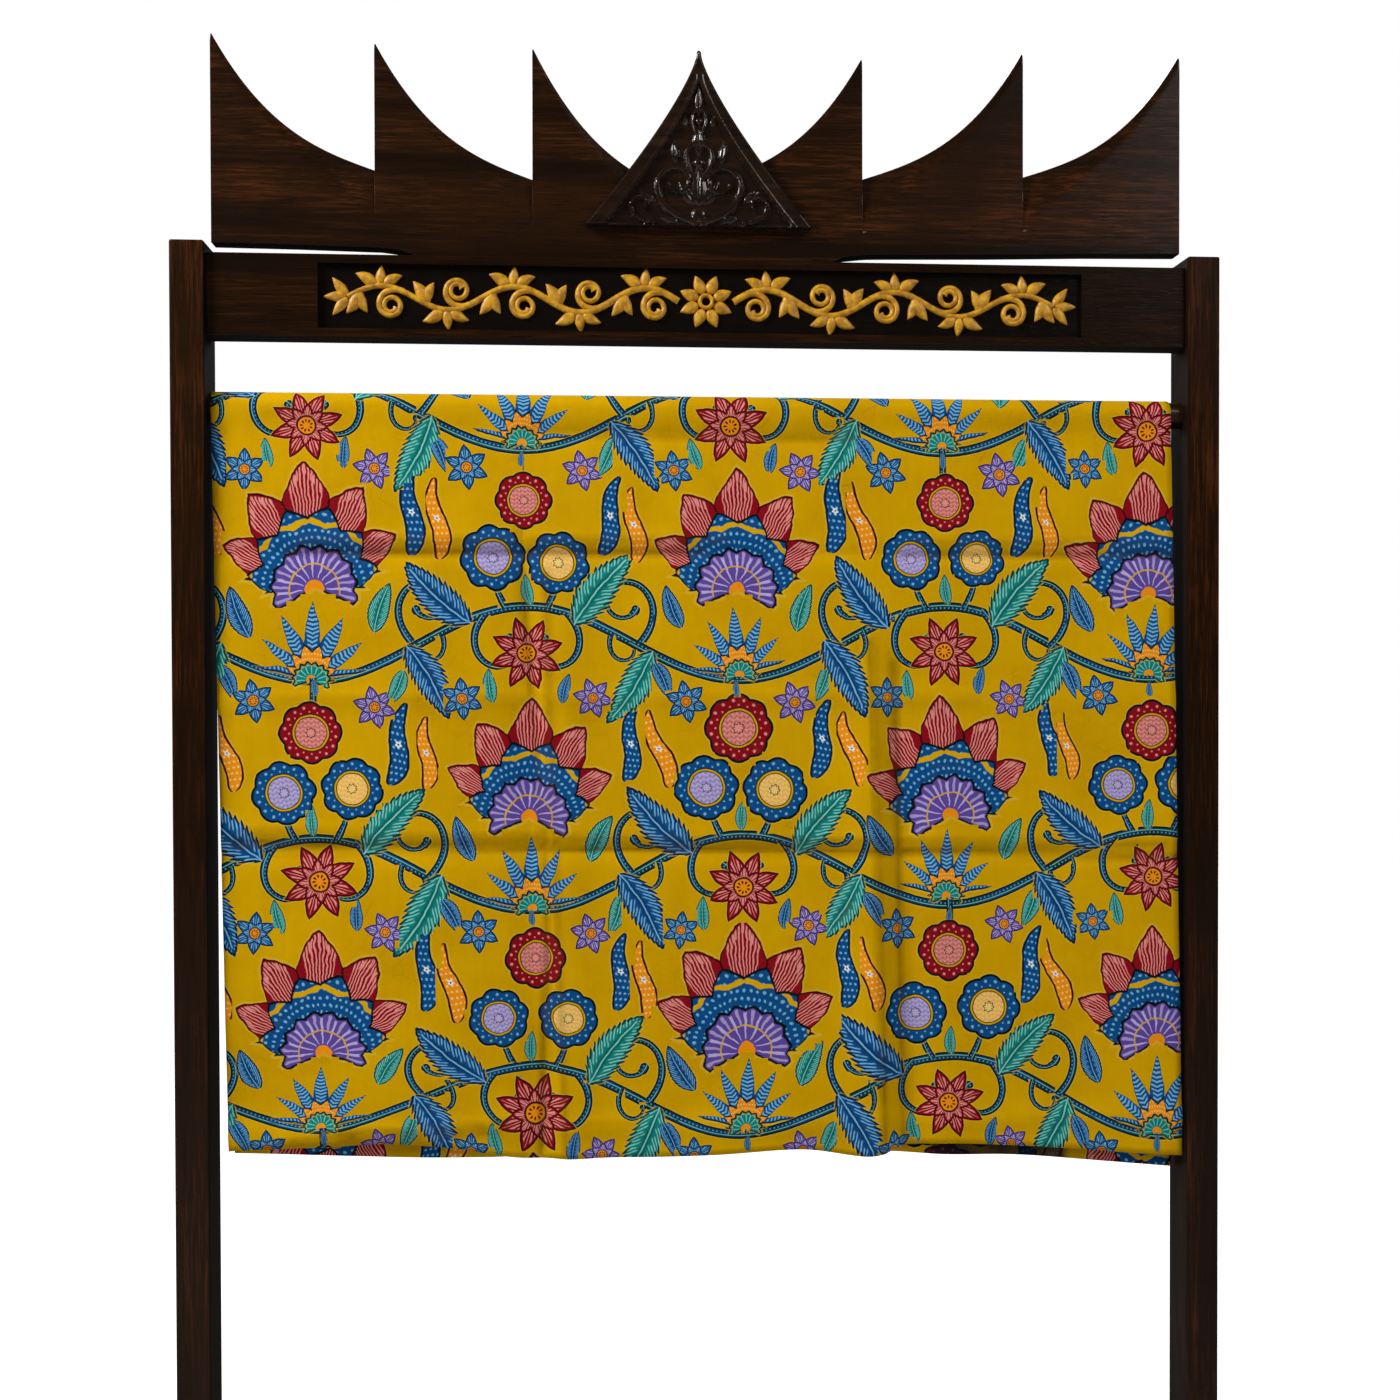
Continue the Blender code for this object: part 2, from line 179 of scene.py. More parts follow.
class Paint:
    # one material and the only way its nodes are made
    def __init__(self, name="", owner=None):
        self.material = owner or bpy.data.materials.new(name)
        self.material.use_nodes = True
        self.tree = self.material.node_tree
        self.shader = self.tree.nodes.get("Principled BSDF") or self.tree.nodes["Background"]

    def node(self, kind, settings=None, values=None, output=0):
        made = self.tree.nodes.new("ShaderNode" + kind)
        for key, value in (settings or {}).items():
            if key == "stops":
                while len(made.color_ramp.elements) < len(value):
                    made.color_ramp.elements.new(1.0)
                for element, (place, colour) in zip(made.color_ramp.elements, value):
                    element.position = place
                    element.color = colour
            else:
                setattr(made, key, value)
        for key, value in (values or {}).items():
            if isinstance(value, Flow):
                self.tree.links.new(value.socket, made.inputs[key])
            else:
                made.inputs[key].default_value = value
        return Flow(self, made.outputs[output])

    def mix(self, factor, first, second):
        return self.node("Mix", {"data_type": "RGBA"}, {0: factor, 6: first, 7: second}, 2)

    def attribute(self, name):
        vector = self.node("Attribute", {"attribute_name": name}, output="Vector")
        return [self.node("SeparateXYZ", {}, {0: vector}, part) for part in range(3)]

    def place(self):
        return self.node("TexCoord", {}, {}, "Object")

    def stretched(self, scale, turn=(0, 0, 0)):
        # object coordinates stretched by three factors
        values = {0: self.place(), "Scale": scale, "Rotation": turn}
        return self.node("Mapping", {}, values)

    def noise(self, vector, scale, detail=3.0, rough=0.55, distortion=0.0):
        values = {"Vector": vector, "Scale": scale, "Detail": detail}
        values.update({"Roughness": rough, "Distortion": distortion})
        return self.node("TexNoise", {}, values)

    def bump(self, height, distance, strength=1.0, normal=None):
        values = {"Height": height, "Distance": distance, "Strength": strength}
        if normal is not None:
            values["Normal"] = normal
        return self.node("Bump", {}, values)

    def feed(self, **sockets):
        for key, value in sockets.items():
            socket = self.shader.inputs[key.replace("_", " ")]
            if isinstance(value, Flow):
                self.tree.links.new(value.socket, socket)
            else:
                socket.default_value = value
        return self.material


def tint(red, green, blue):
    # a screen colour in 0 to 255 as the shader's linear colour
    shares = [level / 255 for level in (red, green, blue)]
    linear = [c / 12.92 if c < 0.0408 else ((c + 0.055) / 1.055) ** 2.4 for c in shares]
    return tuple(linear) + (1.0,)


# Camera, floor and lights

view = {
    "place": (-0.1361, -1.7720, 1.0632),
    "yaw": 4.18,
    "pitch": 0.786,
    "roll": -0.145,
    "focalPixels": 1609.7,
    "imagePixels": 1400.0,
}
studio = {
    "floorSize": 14.0,
    "floorColour": tint(176, 176, 176),
    "floorCloud": tint(168, 168, 167),
    "floorClouding": 0.15,
    "floorSeen": 1.0,
    "floorGlow": 0.04,
    "skySeen": 1.0,
    "skySoft": 0.38,
    "skyMirrored": 0.03,
    "aim": (0.0, 0.0, 1.0),
    "lamps": [
        {"name": "keyLight", "place": (-2.3, -1.15, 2.9), "size": 0.8, "power": 80.0},
        {"name": "fillLight", "place": (2.2, -2.3, 3.0), "size": 1.2, "power": 30.0},
        {"name": "backLight", "place": (0.4, 2.4, 2.8), "size": 1.8, "power": 34.0},
    ],
}


def setCamera():
    yaw, pitch, roll = (math.radians(view[key]) for key in ("yaw", "pitch", "roll"))
    ahead = Vector((math.sin(yaw) * math.cos(pitch), math.cos(yaw) * math.cos(pitch), -math.sin(pitch)))
    right = Vector((math.cos(yaw), -math.sin(yaw), 0.0))
    up = right.cross(ahead)
    turnedRight = right * math.cos(roll) + up * math.sin(roll)
    turnedUp = up * math.cos(roll) - right * math.sin(roll)
    data = bpy.data.cameras.new("photoCamera")
    data.sensor_width = 36.0
    data.lens = view["focalPixels"] / view["imagePixels"] * data.sensor_width
    camera = bpy.data.objects.new("photoCamera", data)
    bpy.context.scene.collection.objects.link(camera)
    basis = Matrix((turnedRight, turnedUp, -ahead)).transposed().to_4x4()
    camera.matrix_world = Matrix.Translation(Vector(view["place"])) @ basis
    bpy.context.scene.camera = camera


def setStudio():
    half = studio["floorSize"] / 2
    corners = [(-half, -half, 0), (half, -half, 0), (half, half, 0), (-half, half, 0)]
    floor = makeMesh("studioFloor", corners, np.array([[0, 1, 2, 3]]), smoothAngle=None)
    paint = Paint("paleFloor")
    shade = paint.noise(paint.place(), 3.0, 2.0)
    colour = paint.mix(shade * studio["floorClouding"], studio["floorColour"], studio["floorCloud"])
    # white to the eye, but only a little light comes back up from it
    looked = paint.node("LightPath", output="Is Camera Ray")
    soft = (studio["floorGlow"],) * 3 + (1.0,)
    glow = paint.mix(looked, soft, (studio["floorSeen"],) * 3 + (1.0,))
    paint.shader.inputs["Emission Strength"].default_value = 1.0
    wear(floor, paint.feed(Base_Color=colour, Roughness=0.9, Emission_Color=glow))
    # the sky is white to the eye, softer as a light and dim where varnish mirrors it
    sky = Paint(owner=bpy.data.worlds.new("studioSky"))
    seen = sky.node("LightPath", output="Is Camera Ray")
    mirrored = sky.node("LightPath", output="Is Glossy Ray")
    strength = seen * (studio["skySeen"] - studio["skySoft"]) + studio["skySoft"]
    strength = strength - mirrored * (studio["skySoft"] - studio["skyMirrored"])
    sky.feed(Color=(1.0, 1.0, 1.0, 1.0), Strength=strength)
    bpy.context.scene.world = sky.material
    for lamp in studio["lamps"]:
        data = bpy.data.lights.new(lamp["name"], "AREA")
        data.size = lamp["size"]
        data.energy = lamp["power"]
        light = bpy.data.objects.new(lamp["name"], data)
        bpy.context.scene.collection.objects.link(light)
        light.location = lamp["place"]
        aim = Vector(studio["aim"]) - light.location
        light.rotation_euler = aim.to_track_quat("-Z", "Y").to_euler()
    bpy.context.scene.view_settings.view_transform = "Standard"


setCamera()
setStudio()
print("camera and studio are set")

# Wood

woods = {
    "dark": tint(26, 14, 5),
    "brown": tint(44, 23, 7),
    "streak": tint(84, 42, 13),
    "black": tint(11, 7, 4),
    "glossBlack": tint(13, 9, 7),
    # near black for the painted shade on undersides and on the sides of the posts
    "shadeBlack": tint(9, 6, 4),
    "grainStretch": 0.045,
    "poreDepth": 0.00010,
    "varnishRough": 0.10,
}


def woodPaint(name, grain, streaks=1.0, rough=0.26, coat=0.2, seed=0.0, shade=0.0, sides=0.0,
              mirror=0.2):
    # stained board: long streaks, fine pores and worn-through patches along the grain, whose
    # axis is 0 for x, 1 for y or 2 for z; shade blackens it all over, sides paints shade on the sides
    # of the posts, coat and mirror are its gloss
    paint = Paint(name)
    scale = [1.0, 1.0, 1.0]
    scale[grain] = woods["grainStretch"]
    values = {0: paint.place(), "Scale": tuple(scale), "Location": (seed, seed * 1.7, seed * 0.6)}
    along = paint.node("Mapping", {}, values)
    broad = paint.noise(along, 26.0, 4.0, 0.6, 0.4)
    fine = paint.noise(along, 300.0, 5.0, 0.72)
    pores = paint.noise(along, 620.0, 2.0, 0.6)
    patch = paint.noise(paint.place(), 5.5, 2.0, 0.5)
    colour = paint.mix(broad.above(0.5, 0.35), woods["dark"], woods["brown"])
    # worn-through patches of lighter wood along the grain
    wearAndCreaseShade = fine.above(0.56, 0.16) * broad.above(0.47, 0.2) * patch.above(0.46, 0.2) * streaks
    colour = paint.mix(wearAndCreaseShade, colour, woods["streak"])
    colour = paint.mix(pores.above(0.60, 0.08) * 0.45 + shade, colour, woods["black"])
    # undersides, and the sides of the posts, are painted near black as painted shade, and have no
    # varnish
    facing = paint.node("NewGeometry", output="Normal")
    sideways, _, upward = (paint.node("SeparateXYZ", {}, {0: facing}, part) for part in range(3))
    under = (0 - upward).above(0.6, 0.3)
    if sides:
        under = under.most(abs(sideways).above(0.6, 0.3) * sides)
    colour = paint.mix(under * 0.85, colour, woods["shadeBlack"])
    height = fine * 0.6 - pores.above(0.60, 0.08) * 0.5 + broad * 0.8
    normal = paint.bump(height, woods["poreDepth"])
    gloss = paint.noise(paint.place(), 9.0, 3.0) * 0.10 + fine * 0.08 + (rough - 0.09)
    gloss = gloss + under * (0.95 - rough)
    paint.shader.inputs["Coat Roughness"].default_value = woods["varnishRough"]
    paint.shader.inputs["Specular IOR Level"].default_value = mirror
    varnish = (1 - under) * coat
    return paint.feed(Base_Color=colour, Roughness=gloss, Normal=normal, Coat_Weight=varnish)


def dressStand():
    feet = woodPaint("stainedFootWood", 1, 0.6, 0.34, 0.15, 0.8)
    woodOf = {
        "post_left": woodPaint("stainedPostWood", 2, 0.8, 0.28, 0.07, sides=1.0, mirror=0.10),
        "post_right": woodPaint("stainedPostWoodRight", 2, 1.1, 0.28, 0.07, 0.37, 0.25, 0.6, 0.08),
        "foot_left": feet,
        "foot_right": feet,
        "hanging_rod": woodPaint("rodWood", 0, 0.4, 0.32, 0.15, 0.5),
    }
    for node, wood in woodOf.items():
        wear(stand[node], wood)


dressStand()
print("posts, feet and rod have their wood")

# Header rail: its sunk panel is painted gloss black inside the stained board

rail = {
    "halfLength": 0.417,
    "halfHeight": 0.03475,
    "depth": 0.006,
    "overlap": 0.0005,
    "edgeSoft": 0.0008,
    "wallStart": 0.0008,
    "wallSoft": 0.0006,
    "dusty": tint(30, 22, 16),
}
railLow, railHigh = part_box("header_rail")
panelZ = (railLow.z + railHigh.z) / 2
panelY = railLow.y + rail["depth"]


def railPaint():
    material = woodPaint("stainedRailWood", 0, 0.5, 0.24, 0.14, 1.3, 0.25, mirror=0.12)
    paint = Paint(owner=material)
    wood = Flow(paint, paint.shader.inputs["Base Color"].links[0].from_socket)
    gloss = Flow(paint, paint.shader.inputs["Roughness"].links[0].from_socket)
    x, y, z = (paint.node("SeparateXYZ", {}, {0: paint.place()}, part) for part in range(3))
    inX = (rail["halfLength"] - abs(x)).above(-rail["overlap"], rail["edgeSoft"])
    inZ = (rail["halfHeight"] - abs(z - panelZ)).above(-rail["overlap"], rail["edgeSoft"])
    behindFace = (y - railLow.y).above(rail["wallStart"], rail["wallSoft"])
    beforeFloor = (panelY + 0.001 - y).above(0.0, rail["wallSoft"])
    inside = inX * inZ * behindFace * beforeFloor
    dust = paint.noise(paint.place(), 60.0, 4.0)
    black = paint.mix(dust * 0.4, woods["glossBlack"], rail["dusty"])
    return paint.feed(
        Base_Color=paint.mix(inside, wood, black),
        Roughness=gloss * (1 - inside) + inside * (dust * 0.12 + 0.12),
    )


wear(stand["header_rail"], railPaint())

# Gold-painted leaf scroll in the sunk panel

scroll = {
    "start": 0.030,
    "reach": 0.386,
    "waves": 5,
    "waveHeight": 0.0140,
    "stemHalf": 0.0039,
    "stemProud": 0.0042,
    "curlHalf": 0.0037,
    "curlRadius": 0.0230,
    "curlLength": 0.118,
    "curlTighten": 860.0,
    "leafLength": 0.026,
    "leafHalf": 0.0072,
    "leafProud": 0.0046,
    "endSpread": (-0.9, 0.0, 0.9),
    "endLength": 0.026,
    "endHalf": 0.0062,
    "petals": 8,
    "petalRoot": 0.0085,
    "petalLength": 0.022,
    "petalHalf": 0.0074,
    "ring": 0.0068,
    "ringHalf": 0.0024,
    "ringProud": 0.0054,
    "sideSteps": 8,
    "leafSteps": 15,
    "gold": tint(222, 164, 20),
    "deepGold": tint(166, 110, 10),
    "shadow": tint(52, 34, 10),
    # leaves in each wave: place along it, lean from straight out, side of the stem and size
    "sprays": rowsOf(
        "place lean out size",
        (0.46, -1.05, 1, 0.90),
        (0.52, -0.10, 1, 0.85),
        (0.58, 1.00, 1, 1.00),
        (0.80, -0.55, -1, 1.15),
        (0.86, 0.45, -1, 0.95),
    ),
}


def curlPath(x, z, heading, length, turn, tighten, steps=120):
    # a curl: its heading turns by turn times the length run plus tighten times half its square
    run = np.linspace(0.0, length, steps)
    angle = heading + turn * run + tighten * run**2 / 2
    gap = run[1] - run[0]
    across = x + np.concatenate([[0.0], np.cumsum(np.cos(angle[:-1]) * gap)])
    up = z + np.concatenate([[0.0], np.cumsum(np.sin(angle[:-1]) * gap)])
    return np.stack([across, up], 1)


def sweep(path, half, proud):
    # a low rounded section carried along a path in the panel's plane: across is half times the
    # cosine and out is proud times the sine of an angle, and the underside stays flat
    path = np.asarray(path, float)
    heading = np.gradient(path, axis=0)
    heading /= np.linalg.norm(heading, axis=1)[:, None]
    side = np.stack([-heading[:, 1], heading[:, 0]], 1)
    angle = np.linspace(0, twoPi, 2 * scroll["sideSteps"], endpoint=False)
    across = np.cos(angle)[None, :] * half[:, None]
    out = np.maximum(np.sin(angle), -0.08)[None, :] * proud[:, None]
    x = path[:, 0][:, None] + side[:, 0][:, None] * across
    z = path[:, 1][:, None] + side[:, 1][:, None] * across
    return np.stack([x, panelY - out, z], -1)


def leafSweep(x, z, heading, length, half, proud, bend=0.5):
    # a leaf: its half width rises from the root and runs out to a point, on an arc of a path
    t = np.linspace(0.0, 1.0, scroll["leafSteps"])
    turned = heading + bend * (t - 0.5)
    step = length / (scroll["leafSteps"] - 1)
    path = np.stack([np.cumsum(np.cos(turned)) * step, np.cumsum(np.sin(turned)) * step], 1)
    path = path - path[0] + (x, z)
    shape = np.sin(np.pi * t**0.8) ** 0.8 * (1 - 0.25 * t) + 0.02
    return sweep(path, half * shape, proud * shape**0.5)


def joinSweeps(name, sweeps):
    points, quads, caps, start = [], [], [], 0
    for body in sweeps:
        rows, columns = body.shape[:2]
        points.append(body.reshape(-1, 3))
        quads.append(gridQuads(rows, columns, wrapColumns=True)[:, ::-1] + start)
        caps.append(list(range(start, start + columns)))
        caps.append(list(range(start + rows * columns - 1, start + (rows - 1) * columns - 1, -1)))
        start += rows * columns
    return makeMesh(name, np.concatenate(points), np.concatenate(quads), caps, 50)


def waveTop(x):
    # height of the scroll's stem, waves that sink a little towards the ends
    phase = (x - scroll["start"]) / (scroll["reach"] - scroll["start"]) * scroll["waves"] * math.pi
    return scroll["waveHeight"] * np.sin(phase) * (1 - 0.15 * (x / scroll["reach"]) ** 2)


def halfScroll(side, sweeps):
    # one side of the scroll: the stem, and in each wave a curl below it and leaves about it
    proud = scroll["leafProud"]
    wave = (scroll["reach"] - scroll["start"]) / scroll["waves"]
    x = np.linspace(scroll["start"], scroll["reach"], 170)
    path = np.stack([side * x, panelZ + waveTop(x)], 1)
    half = scroll["stemHalf"] * (1 - 0.25 * (x / scroll["reach"]) ** 2)
    sweeps.append(sweep(path, half, np.full(len(x), scroll["stemProud"])))
    for k in range(scroll["waves"]):
        up = 1 if k % 2 == 0 else -1
        at = scroll["start"] + (k + 0.16) * wave
        climb = math.atan2(waveTop(at + 0.001) - waveTop(at - 0.001), 0.002)
        turn = -up / scroll["curlRadius"]
        tighten = -up * scroll["curlTighten"]
        curl = curlPath(at, waveTop(at), climb, scroll["curlLength"], turn, tighten)
        u = np.linspace(0.0, 1.0, len(curl))
        thick = scroll["curlHalf"] * (1 - 0.35 * u + 0.75 * swell(u, 1.0, 0.05))
        curl[:, 0] *= side
        curl[:, 1] += panelZ
        sweeps.append(sweep(curl, thick, np.full(len(u), scroll["stemProud"])))
        for leaf in scroll["sprays"]:
            at = scroll["start"] + (k + leaf["place"]) * wave
            angle = up * leaf["out"] * (math.pi / 2 - leaf["lean"] * leaf["out"])
            heading = angle if side > 0 else math.pi - angle
            bend = -0.7 * leaf["lean"] * up * side
            length, half = scroll["leafLength"] * leaf["size"], scroll["leafHalf"] * leaf["size"]
            root = panelZ + waveTop(at)
            sweeps.append(leafSweep(side * at, root, heading, length, half, proud, bend))
    end = side * scroll["reach"]
    length, half = scroll["endLength"], scroll["endHalf"]
    for spread in scroll["endSpread"]:
        heading = spread if side > 0 else math.pi - spread
        sweeps.append(leafSweep(end, panelZ, heading, length, half, proud, 0.0))


def goldScroll():
    sweeps = []
    halfScroll(-1, sweeps)
    halfScroll(1, sweeps)
    for k in range(scroll["petals"]):
        heading = twoPi * (k + 0.5) / scroll["petals"]
        x = scroll["petalRoot"] * math.cos(heading)
        z = panelZ + scroll["petalRoot"] * math.sin(heading)
        length, half = scroll["petalLength"], scroll["petalHalf"]
        sweeps.append(leafSweep(x, z, heading, length, half, scroll["leafProud"], 0.0))
    turn = np.linspace(0, twoPi, 40)
    ring = np.stack([scroll["ring"] * np.cos(turn), panelZ + scroll["ring"] * np.sin(turn)], 1)
    sweeps.append(sweep(ring, np.full(40, scroll["ringHalf"]), np.full(40, scroll["ringProud"])))
    piece = joinSweeps("goldLeafScroll", sweeps)
    paint = Paint("goldPaint")
    brush = paint.noise(paint.stretched((1.0, 1.0, 0.35)), 420.0, 4.0)
    worn = paint.noise(paint.place(), 130.0, 4.0)
    colour = paint.mix(worn.above(0.5, 0.3), scroll["gold"], scroll["deepGold"])
    y = paint.node("SeparateXYZ", {}, {0: paint.place()}, 1)
    foot = (y - (panelY - 0.0009)).above(0.0, 0.0014)
    colour = paint.mix(foot * 0.75, colour, scroll["shadow"])
    rough = worn * 0.25 + 0.28
    material = paint.feed(Base_Color=colour, Roughness=rough, Normal=paint.bump(brush, 0.0003))
    wear(piece, material)
    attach(piece, "root")
    return piece


goldScroll()
print("rail panel is painted and has its leaf scroll")

# Crest board with its horns, each overlapped by the next in low relief

crest = {
    "thickness": 0.022,
    "railTop": railHigh.z,
    # how far the underside stands over the rail at places along it
    "bottomX": [-0.530, -0.440, -0.352, -0.330, -0.312, 0.138,
                0.152, 0.178, 0.204, 0.313, 0.422, 0.530],
    "bottomLift": [0.0117, 0.0108, 0.0090, 0.0065, 0.0003, 0.0003,
                   0.0070, 0.0099, 0.0105, 0.0123, 0.0151, 0.0166],
    "steepShare": 0.6,
    "steepness": 3.0,
    "hornSteps": 40,
    "hornCrowding": 1.6,
    "peakSteps": 55,
    "tipRound": 0.0024,
    "frontRows": 44,
    "backRows": 8,
    "edgeRound": 0.0016,
    "dishWidth": (0.009, 0.064),
    "dishDepth": (0.0012, 0.0068),
    "wallGap": 0.00025,
    "horns": rowsOf(
        "edgeX tip footX foot",
        (-0.530, 0.2368, -0.357, 0.0938),
        (-0.357, 0.2302, -0.188, 0.0872),
        (-0.188, 0.2289, -0.015, 0.0700),
        (0.173, 0.2262, -0.002, 0.0850),
        (0.3525, 0.2366, 0.173, 0.0945),
        (0.530, 0.2370, 0.3525, 0.1002),
    ),
}
pediment = {
    "x": -0.008,
    "base": 0.035,
    "apex": 0.2235,
    "halfWidth": 0.123,
    "flare": 1.28,
    "tipHalf": 0.0024,
    "tipHeight": 0.0030,
    "thickness": 0.014,
    "inset": 0.003,
    "fieldHalf": 0.102,
    "fieldDrop": 0.029,
    "fieldDepth": 0.0042,
    "rows": 220,
    "columns": 200,
    "rim": 0.0014,
    "fieldWall": 0.0016,
    "baseWall": 0.0018,
    "reliefEdge": (0.0005, 0.0025),
    "beadPlace": 0.0032,
    "beadHalf": 0.0014,
    "beadProud": 0.0006,
    "proudest": 0.0008,
    "rowCrowding": 0.93,
    "dark": tint(27, 16, 9),
    "brown": tint(50, 30, 15),
}


def pedimentHalf(rise, half, apex):
    left = np.clip((apex - rise) / (apex - pediment["base"]), 0.0, 1.0)
    return half * left ** pediment["flare"]


def peakTop(x):
    # height of the middle peak, whose outline keeps just inside that of the pediment
    share = (np.abs(x - pediment["x"]) + pediment["inset"]) / pediment["halfWidth"]
    rise = pediment["apex"] - (pediment["apex"] - pediment["base"]) * share ** (1 / pediment["flare"])
    return np.where(share < 1, rise, 0.0)


def crestColumns():
    # every column of the board from left to right: x, top height and place along its horn
    x, top, along = [], [], []
    t = np.linspace(0.0, 1.0, crest["hornSteps"]) ** crest["hornCrowding"]
    radius = crest["tipRound"]
    for index, horn in enumerate(crest["horns"]):
        side = 1 if index < 3 else -1
        hornX = horn["edgeX"] + (horn["footX"] - horn["edgeX"]) * t
        hornX = hornX + side * crest["wallGap"] * (1 - 2 * t)
        left = crest["steepShare"] * (1 - t) ** crest["steepness"] + (1 - crest["steepShare"]) * (1 - t)
        hornTop = horn["foot"] + (horn["tip"] - horn["foot"]) * left
        inward = np.clip(1 - np.abs(hornX - hornX[0]) / radius, 0.0, 1.0)
        hornTop = np.minimum(hornTop, horn["tip"] - radius * (1.6 - np.sqrt(1 - inward**2)))
        keep = hornTop > peakTop(hornX)
        order = slice(None) if side > 0 else slice(None, None, -1)
        x.append(hornX[keep][order])
        top.append(hornTop[keep][order])
        along.append(t[keep][order])
    gap = 2 * crest["wallGap"]
    peakX = np.linspace(x[2][-1] + gap, x[3][0] - gap, crest["peakSteps"])
    x.insert(3, peakX)
    top.insert(3, np.maximum(peakTop(peakX), 0.072))
    along.insert(3, np.interp(peakX, peakX[[0, 4, -5, -1]], [along[2][-1], 0.0, 0.0, along[3][0]]))
    return np.concatenate(x), np.concatenate(top), np.concatenate(along)


def buildCrest():
    # the section of the board at each x, closed round front, top edge, back and underside;
    # the front sinks towards the top edge by a depth that grows along each horn
    x, top, along = crestColumns()
    bottom = np.interp(x, crest["bottomX"], crest["bottomLift"])
    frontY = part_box("crest_board")[0].y
    backY = frontY + crest["thickness"]
    radius = crest["edgeRound"]
    rise = np.linspace(0.0, 1.0, crest["frontRows"])[:, None]
    frontZ = bottom + (top - radius - bottom) * rise
    width = crest["dishWidth"][0] + (crest["dishWidth"][1] - crest["dishWidth"][0]) * along**2
    depth = crest["dishDepth"][0] + (crest["dishDepth"][1] - crest["dishDepth"][0]) * along**1.3
    sunk = depth * (1 - ease(top - frontZ, 0.0, width))
    frontDepth = frontY + sunk
    turn = np.linspace(0.15, 0.5, 4)[:, None] * math.pi
    roundZ = top - radius + radius * np.sin(turn)
    roundY = frontDepth[-1] + radius * (1 - np.cos(turn))
    backRise = np.linspace(1.0, 0.0, crest["backRows"])[:, None]
    backZ = bottom + (top - radius - bottom) * backRise
    backDepth = np.full_like(backZ, backY)
    backRound = np.broadcast_to(backY - radius * (1 - np.cos(turn[::-1])), roundZ.shape)
    z = np.concatenate([frontZ, roundZ, roundZ[::-1], backZ])
    y = np.concatenate([frontDepth, roundY, backRound, backDepth])
    points = np.stack([np.broadcast_to(x, z.shape), y, z + crest["railTop"]], -1)
    rows, columns = z.shape
    quads = gridQuads(rows, columns, wrapRows=True)
    left = list(range(0, rows * columns, columns))
    right = [number + columns - 1 for number in left[::-1]]
    board = makeMesh("crestBoard", points, quads, [left, right], 40)
    wear(board, woodPaint("crestWood", 0, 0.9, 0.24, 0.20, 2.1, mirror=0.2))
    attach(board, "root")
    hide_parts("crest_board")
    return board


buildCrest()
print("crest board is carved")

# Pediment: raised border and a carved field of scrolls and leaves

carving = {
    "ridgeProud": 0.0040,
    "taper": 0.45,
    "flat": 0.25,
    "scrolls": rowsOf(
        "x z heading length turn tighten half",
        (0.004, 0.004, 0.30, 0.150, 3.0, 620.0, 0.0043),
        (0.004, 0.050, 0.95, 0.080, 4.0, 1600.0, 0.0034),
        (0.003, 0.100, 1.10, 0.050, 8.0, 3200.0, 0.0026),
        (0.050, 0.004, 0.05, 0.066, 10.0, 2300.0, 0.0030),
    ),
    "leaves": rowsOf(
        "x z heading half length proud",
        (0.000, 0.022, 1.571, 0.0100, 0.046, 0.0042),
        (0.005, 0.024, 0.98, 0.0070, 0.030, 0.0034),
        (0.000, 0.076, 1.571, 0.0070, 0.034, 0.0040),
        (0.000, 0.120, 1.571, 0.0055, 0.036, 0.0038),
        (0.048, 0.026, 0.62, 0.0052, 0.022, 0.0034),
        (0.0245, 0.068, 1.42, 0.0046, 0.026, 0.0034),
        (0.012, 0.108, 0.95, 0.0038, 0.018, 0.0030),
        (0.022, 0.004, 0.30, 0.0040, 0.024, 0.0028),
    ),
    "bosses": rowsOf(
        "x z radius proud",
        (0.000, 0.012, 0.0085, 0.0042),
        (0.000, 0.068, 0.0060, 0.0038),
        (0.000, 0.113, 0.0042, 0.0034),
    ),
    "stipple": 0.00030,
}


def carvedHeight(x, z):
    # height of the carved relief at each point of the field, the same on both sides of its middle
    across = np.abs(x)
    high = np.zeros_like(x)
    for curl in carving["scrolls"]:
        path = curlPath(*(curl[key] for key in ("x", "z", "heading", "length", "turn", "tighten")))
        half = curl["half"] * (1 - carving["taper"] * np.linspace(0.0, 1.0, len(path)))
        share = (np.hypot(across[..., None] - path[:, 0], z[..., None] - path[:, 1]) / half).min(-1)
        hollow = 1 - carving["flat"] * swell(share, 0.0, 0.3)
        ridge = np.sqrt(np.clip(1 - share**2, 0.0, 1.0)) * hollow
        high = np.maximum(high, carving["ridgeProud"] * ridge)
    for leaf in carving["leaves"]:
        cosine, sine = math.cos(leaf["heading"]), math.sin(leaf["heading"])
        for sign in (1, -1):
            dx = x * sign - leaf["x"]
            dz = z - leaf["z"]
            t = (dx * cosine + dz * sine) / leaf["length"]
            side = (dz * cosine - dx * sine) / leaf["half"]
            body = np.sin(np.pi * np.clip(t, 0.0, 1.0) ** 0.75)
            inside = np.clip(body - np.abs(side), 0.0, 1.0)
            vein = 1 - 0.45 * swell(side, 0.0, 0.16)
            high = np.maximum(high, leaf["proud"] * np.sqrt(inside) * vein)
    for boss in carving["bosses"]:
        far = np.hypot(across - boss["x"], z - boss["z"]) / boss["radius"]
        high = np.maximum(high, boss["proud"] * np.sqrt(np.clip(1 - far**2, 0.0, 1.0)))
    return high


